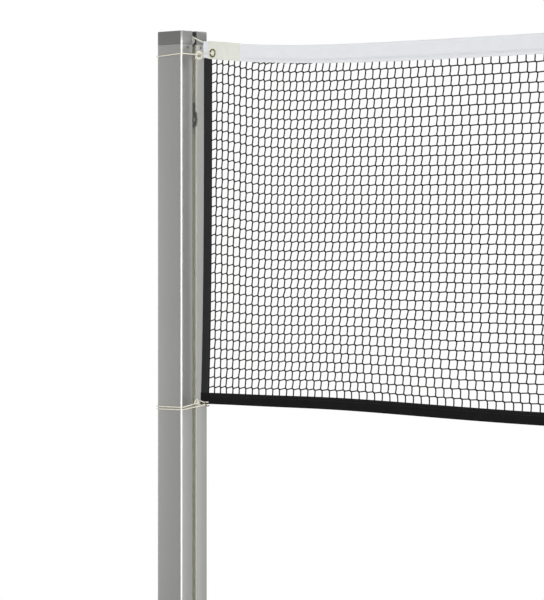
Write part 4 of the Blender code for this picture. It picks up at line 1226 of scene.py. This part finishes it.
def make_lower_ties():
    """Twice round the post, as one cord that climbs from turn to turn, with a small standing loop
    at its knot, two strands through the bottom cord's loop and two sewn to the tape's corner."""
    loop_x, loop_z = foot_loop_centre()
    first = rises_at(loop_z, LOWER_TIE_RISES)
    second = rises_at(loop_z, SECOND_TURN_RISES)
    knot = (post_half + LOWER_KNOT_OUT, 0.0, first["knot"])
    start = (knot[0], -TIE_RADIUS - GAP, knot[2])
    slant = slant_from(start)
    turns = [start] + turn_of_tie(first, -slant, 0) + turn_of_tie(second, 0, slant)
    turns += [(start[0], -start[1], start[2])]
    standing = [(0.000, -0.001, 0.0020), (-0.0072, -0.0005, 0.0024), (-0.0082, 0.0010, 0.0030),
                (-0.0048, 0.0072, 0.0034), (-0.0032, 0.0076, 0.0034), (-0.0016, 0.0036, 0.0028),
                (-0.0004, -0.0006, 0.0014)]
    front = -leaf_face(TIE_RADIUS + GAP)
    lap = [(knot[0], -0.0018, 0.0000), (0.0560, front, 0.0037), (0.0600, front, 0.0042),
           (0.0655, front, 0.0027), (0.0730, front, 0.0015), (0.0800, front, 0.0020),
           (0.0826, front / 3, 0.0018)]
    under = [(knot[0] + 0.0010, -0.0015, -0.0014), (0.0585, front, -0.0040), (0.0632, front, -0.0062),
             (0.0680, front, -0.0050), (0.0718, front / 2, -0.0020)]
    lap, under = ([(x, y, loop_z + rise) for x, y, rise in route] for route in (lap, under))
    bend = FOOT_CORD_RADIUS + 2 * GAP + TIE_RADIUS
    bar = arc(loop_x - FOOT_LOOP_RADIUS, 0.0, bend, -90, -15, 4)
    share = math.sqrt(0.5)
    knot_axes = ((share, share, 0.0), (0.0, 0.0, 1.0), (share, -share, 0.0))
    routes = [turns, doubled_strand(knot, bar, loop_z), facing(knot, standing), lap, under,
              overhand_knot(knot, knot_axes, *LOWER_KNOT_SIZE, 48)]
    both_ends(laid_cord("lower_tie_cord", routes, TIE_RADIUS, tie_yarn), "lower_tie")


def make_head_cords():
    """The net cord: over each roller in full, and a plain core where the tape hides it."""
    drop = TAPE_SHEET + GAP + HEAD_CORD_RADIUS
    away = (net_end_x - roller_x, float(top_line(net_half)) - drop - roller_z)
    leave = math.degrees(math.acos(ROLLER_PITCH_RADIUS / math.hypot(*away)) + math.atan2(away[1], away[0]))
    over = [(x, 0.0, z) for x, z in arc(roller_x, roller_z, ROLLER_PITCH_RADIUS, 180, leave, 8)]
    inside = [(net_end_x + step, 0.0, float(top_line(net_half - step)) - drop)
              for step in (0.0, HEAD_CORD_INSIDE)]
    both_ends(laid_cord("head_cord_end", [over + inside], HEAD_CORD_RADIUS, head_yarn))
    cord_core("head_cord_core", lambda x: top_line(x) - drop, net_half - HEAD_CORE_START,
              HEAD_CORD_RADIUS, head_yarn, "headline_cord")


def make_cord_drops():
    """The net cord's run down the channel, laid here at one length, though the real run shortens as the
    slider rises.
    """
    low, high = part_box("left_cord_drop")
    x = (low.x + high.x) / 2 + post_x
    route = [(x, 0.0, high.z), (x, 0.0, (low.z + high.z) / 2), (x, 0.0, low.z)]
    drops = both_ends(laid_cord("cord_drop_laid", [route], HEAD_CORD_RADIUS, head_yarn),
                      "cord_drop")
    for (name, side), piece in zip(ENDS, drops):
        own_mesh(piece)


def make_stopper_knots():
    low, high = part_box("left_stopper_knot")
    centre = (low + high) / 2
    size = ((high.x - low.x) / 2 - STOPPER_CORD_RADIUS) / 3
    route = overhand_knot((centre.x + post_x, 0.0, centre.z), np.eye(3), size, STOPPER_DEPTH, 36)
    knot = laid_cord("stopper_knot_laid", [route], STOPPER_CORD_RADIUS, head_yarn)
    both_ends(knot, "stopper_knot", "slider")


def make_bottom_cords():
    """The bottom cord: its two end loops in full, and a plain core where the tape hides it."""
    rise = TAPE_SHEET + GAP + FOOT_CORD_RADIUS
    loop_x, loop_z = foot_loop_centre()
    ring = [(x, 0.0, z) for x, z in arc(loop_x, loop_z, FOOT_LOOP_RADIUS, 0, 340, 14)]
    stem = [(loop_x + FOOT_LOOP_RADIUS + step, 0.0, loop_z) for step in (0.0, 0.005, 0.012)]
    tail = [(0.0742, -0.0012, 0.0004), (0.0770, -0.0052, 0.0012), (0.0790, -0.0064, -0.0008),
            (0.0806, -0.0065, -0.0042), (0.0838, -0.0065, -0.0064), (0.0874, -0.0060, -0.0058),
            (0.0898, -0.0055, -0.0048)]
    tail = [(x, y, loop_z + up) for x, y, up in tail]
    both_ends(laid_cord("foot_cord_loop", [ring, stem, tail], FOOT_LOOP_CORD_RADIUS, foot_yarn))
    cord_core("foot_cord_core", lambda x: bottom_line(x) + rise, net_half + EDGE_LEAN - FOOT_INSET,
              FOOT_CORD_RADIUS, foot_yarn, "bottom_cord")


# Stage, light and camera

def make_stage():
    deselect()
    bpy.ops.mesh.primitive_circle_add(vertices=64, radius=FLOOR_RADIUS, fill_type="NGON",
                                      location=(0.0, 0.0, floor_z - FLOOR_DROP))
    floor = bpy.context.active_object
    floor.name = "floor"
    material, _, shader, _, _ = start_material("pale_floor")
    shader.inputs["Base Color"].default_value = (0.82, 0.82, 0.82, 1.0)
    shader.inputs["Roughness"].default_value = 0.9
    dress(floor, material)


def make_world():
    """A white background, which lights the object at a much lower strength."""
    world = bpy.data.worlds.new("studio")
    bpy.context.scene.world = world
    world.use_nodes = True
    tree = world.node_tree
    background = tree.nodes["Background"]
    background.inputs["Color"].default_value = (1.0, 1.0, 1.0, 1.0)
    path = put(tree, "ShaderNodeLightPath").outputs
    seen = math_node(tree, "MAXIMUM", path["Is Camera Ray"], path["Is Glossy Ray"])
    seen = math_node(tree, "MAXIMUM", seen, path["Is Transmission Ray"])
    strength = put(tree, "ShaderNodeMapRange", {"Value": seen, "To Min": AMBIENT, "To Max": 1.0})
    tree.links.new(strength.outputs["Result"], background.inputs["Strength"])


def add_lamp(name, kind, end, azimuth, elevation, distance, power):
    """Add a lamp that shines on an end of the net, or on its middle, from an angle round it."""
    data = bpy.data.lights.new(name, kind)
    data.energy = power
    lamp = link_object(name, data)
    a, e = math.radians(azimuth), math.radians(elevation)
    back = Vector((math.sin(a) * math.cos(e), -math.cos(a) * math.cos(e), math.sin(e)))
    lamp.location = Vector((end * post_x, 0.0, LAMP_AIM_HEIGHT)) + back * distance
    lamp.rotation_euler = back.to_track_quat("Z", "Y").to_euler()
    return data


def make_lights():
    """Broad lamps so far away that they light both ends of the net alike, and two near ones."""
    for name, (azimuth, elevation, width, strength) in DISTANT_LAMPS.items():
        data = add_lamp(name, "SUN", 0, azimuth, elevation, DISTANT_LAMP_AWAY, strength)
        data.angle = math.radians(width)
    for name, (end, azimuth, elevation, distance, size, power) in NEAR_LAMPS.items():
        data = add_lamp(name, "AREA", end, azimuth, elevation, distance, power)
        data.shape = "RECTANGLE"
        data.size, data.size_y = size


def make_camera():
    data = bpy.data.cameras.new("camera")
    data.sensor_width = SENSOR
    data.lens = FOCAL_PIXELS * SENSOR / PHOTO_HEIGHT
    camera = link_object("camera", data)
    a = math.radians(CAMERA_AZIMUTH)
    right = Vector((math.cos(a), math.sin(a), 0.0))
    toward = Vector((math.sin(a), -math.cos(a), 0.0))
    camera.location = Vector((-post_x, 0.0, CAMERA_HEIGHT)) + toward * CAMERA_AWAY + right * CAMERA_ASIDE
    camera.rotation_euler = (math.pi / 2, 0.0, a)
    bpy.context.scene.camera = camera


for make in (make_camera, make_world, make_lights, make_stage, make_head_cords, make_cord_drops,
             make_stopper_knots, make_bottom_cords, make_upper_ties, make_lower_ties,
             make_rigid_pieces, make_netting, make_top_tape, make_bottom_tape, make_side_tapes,
             make_end_patches, make_top_stitching, make_bottom_stitching, make_side_stitching,
             make_patch_stitching):
    make()

bpy.context.scene.view_settings.view_transform = "Standard"
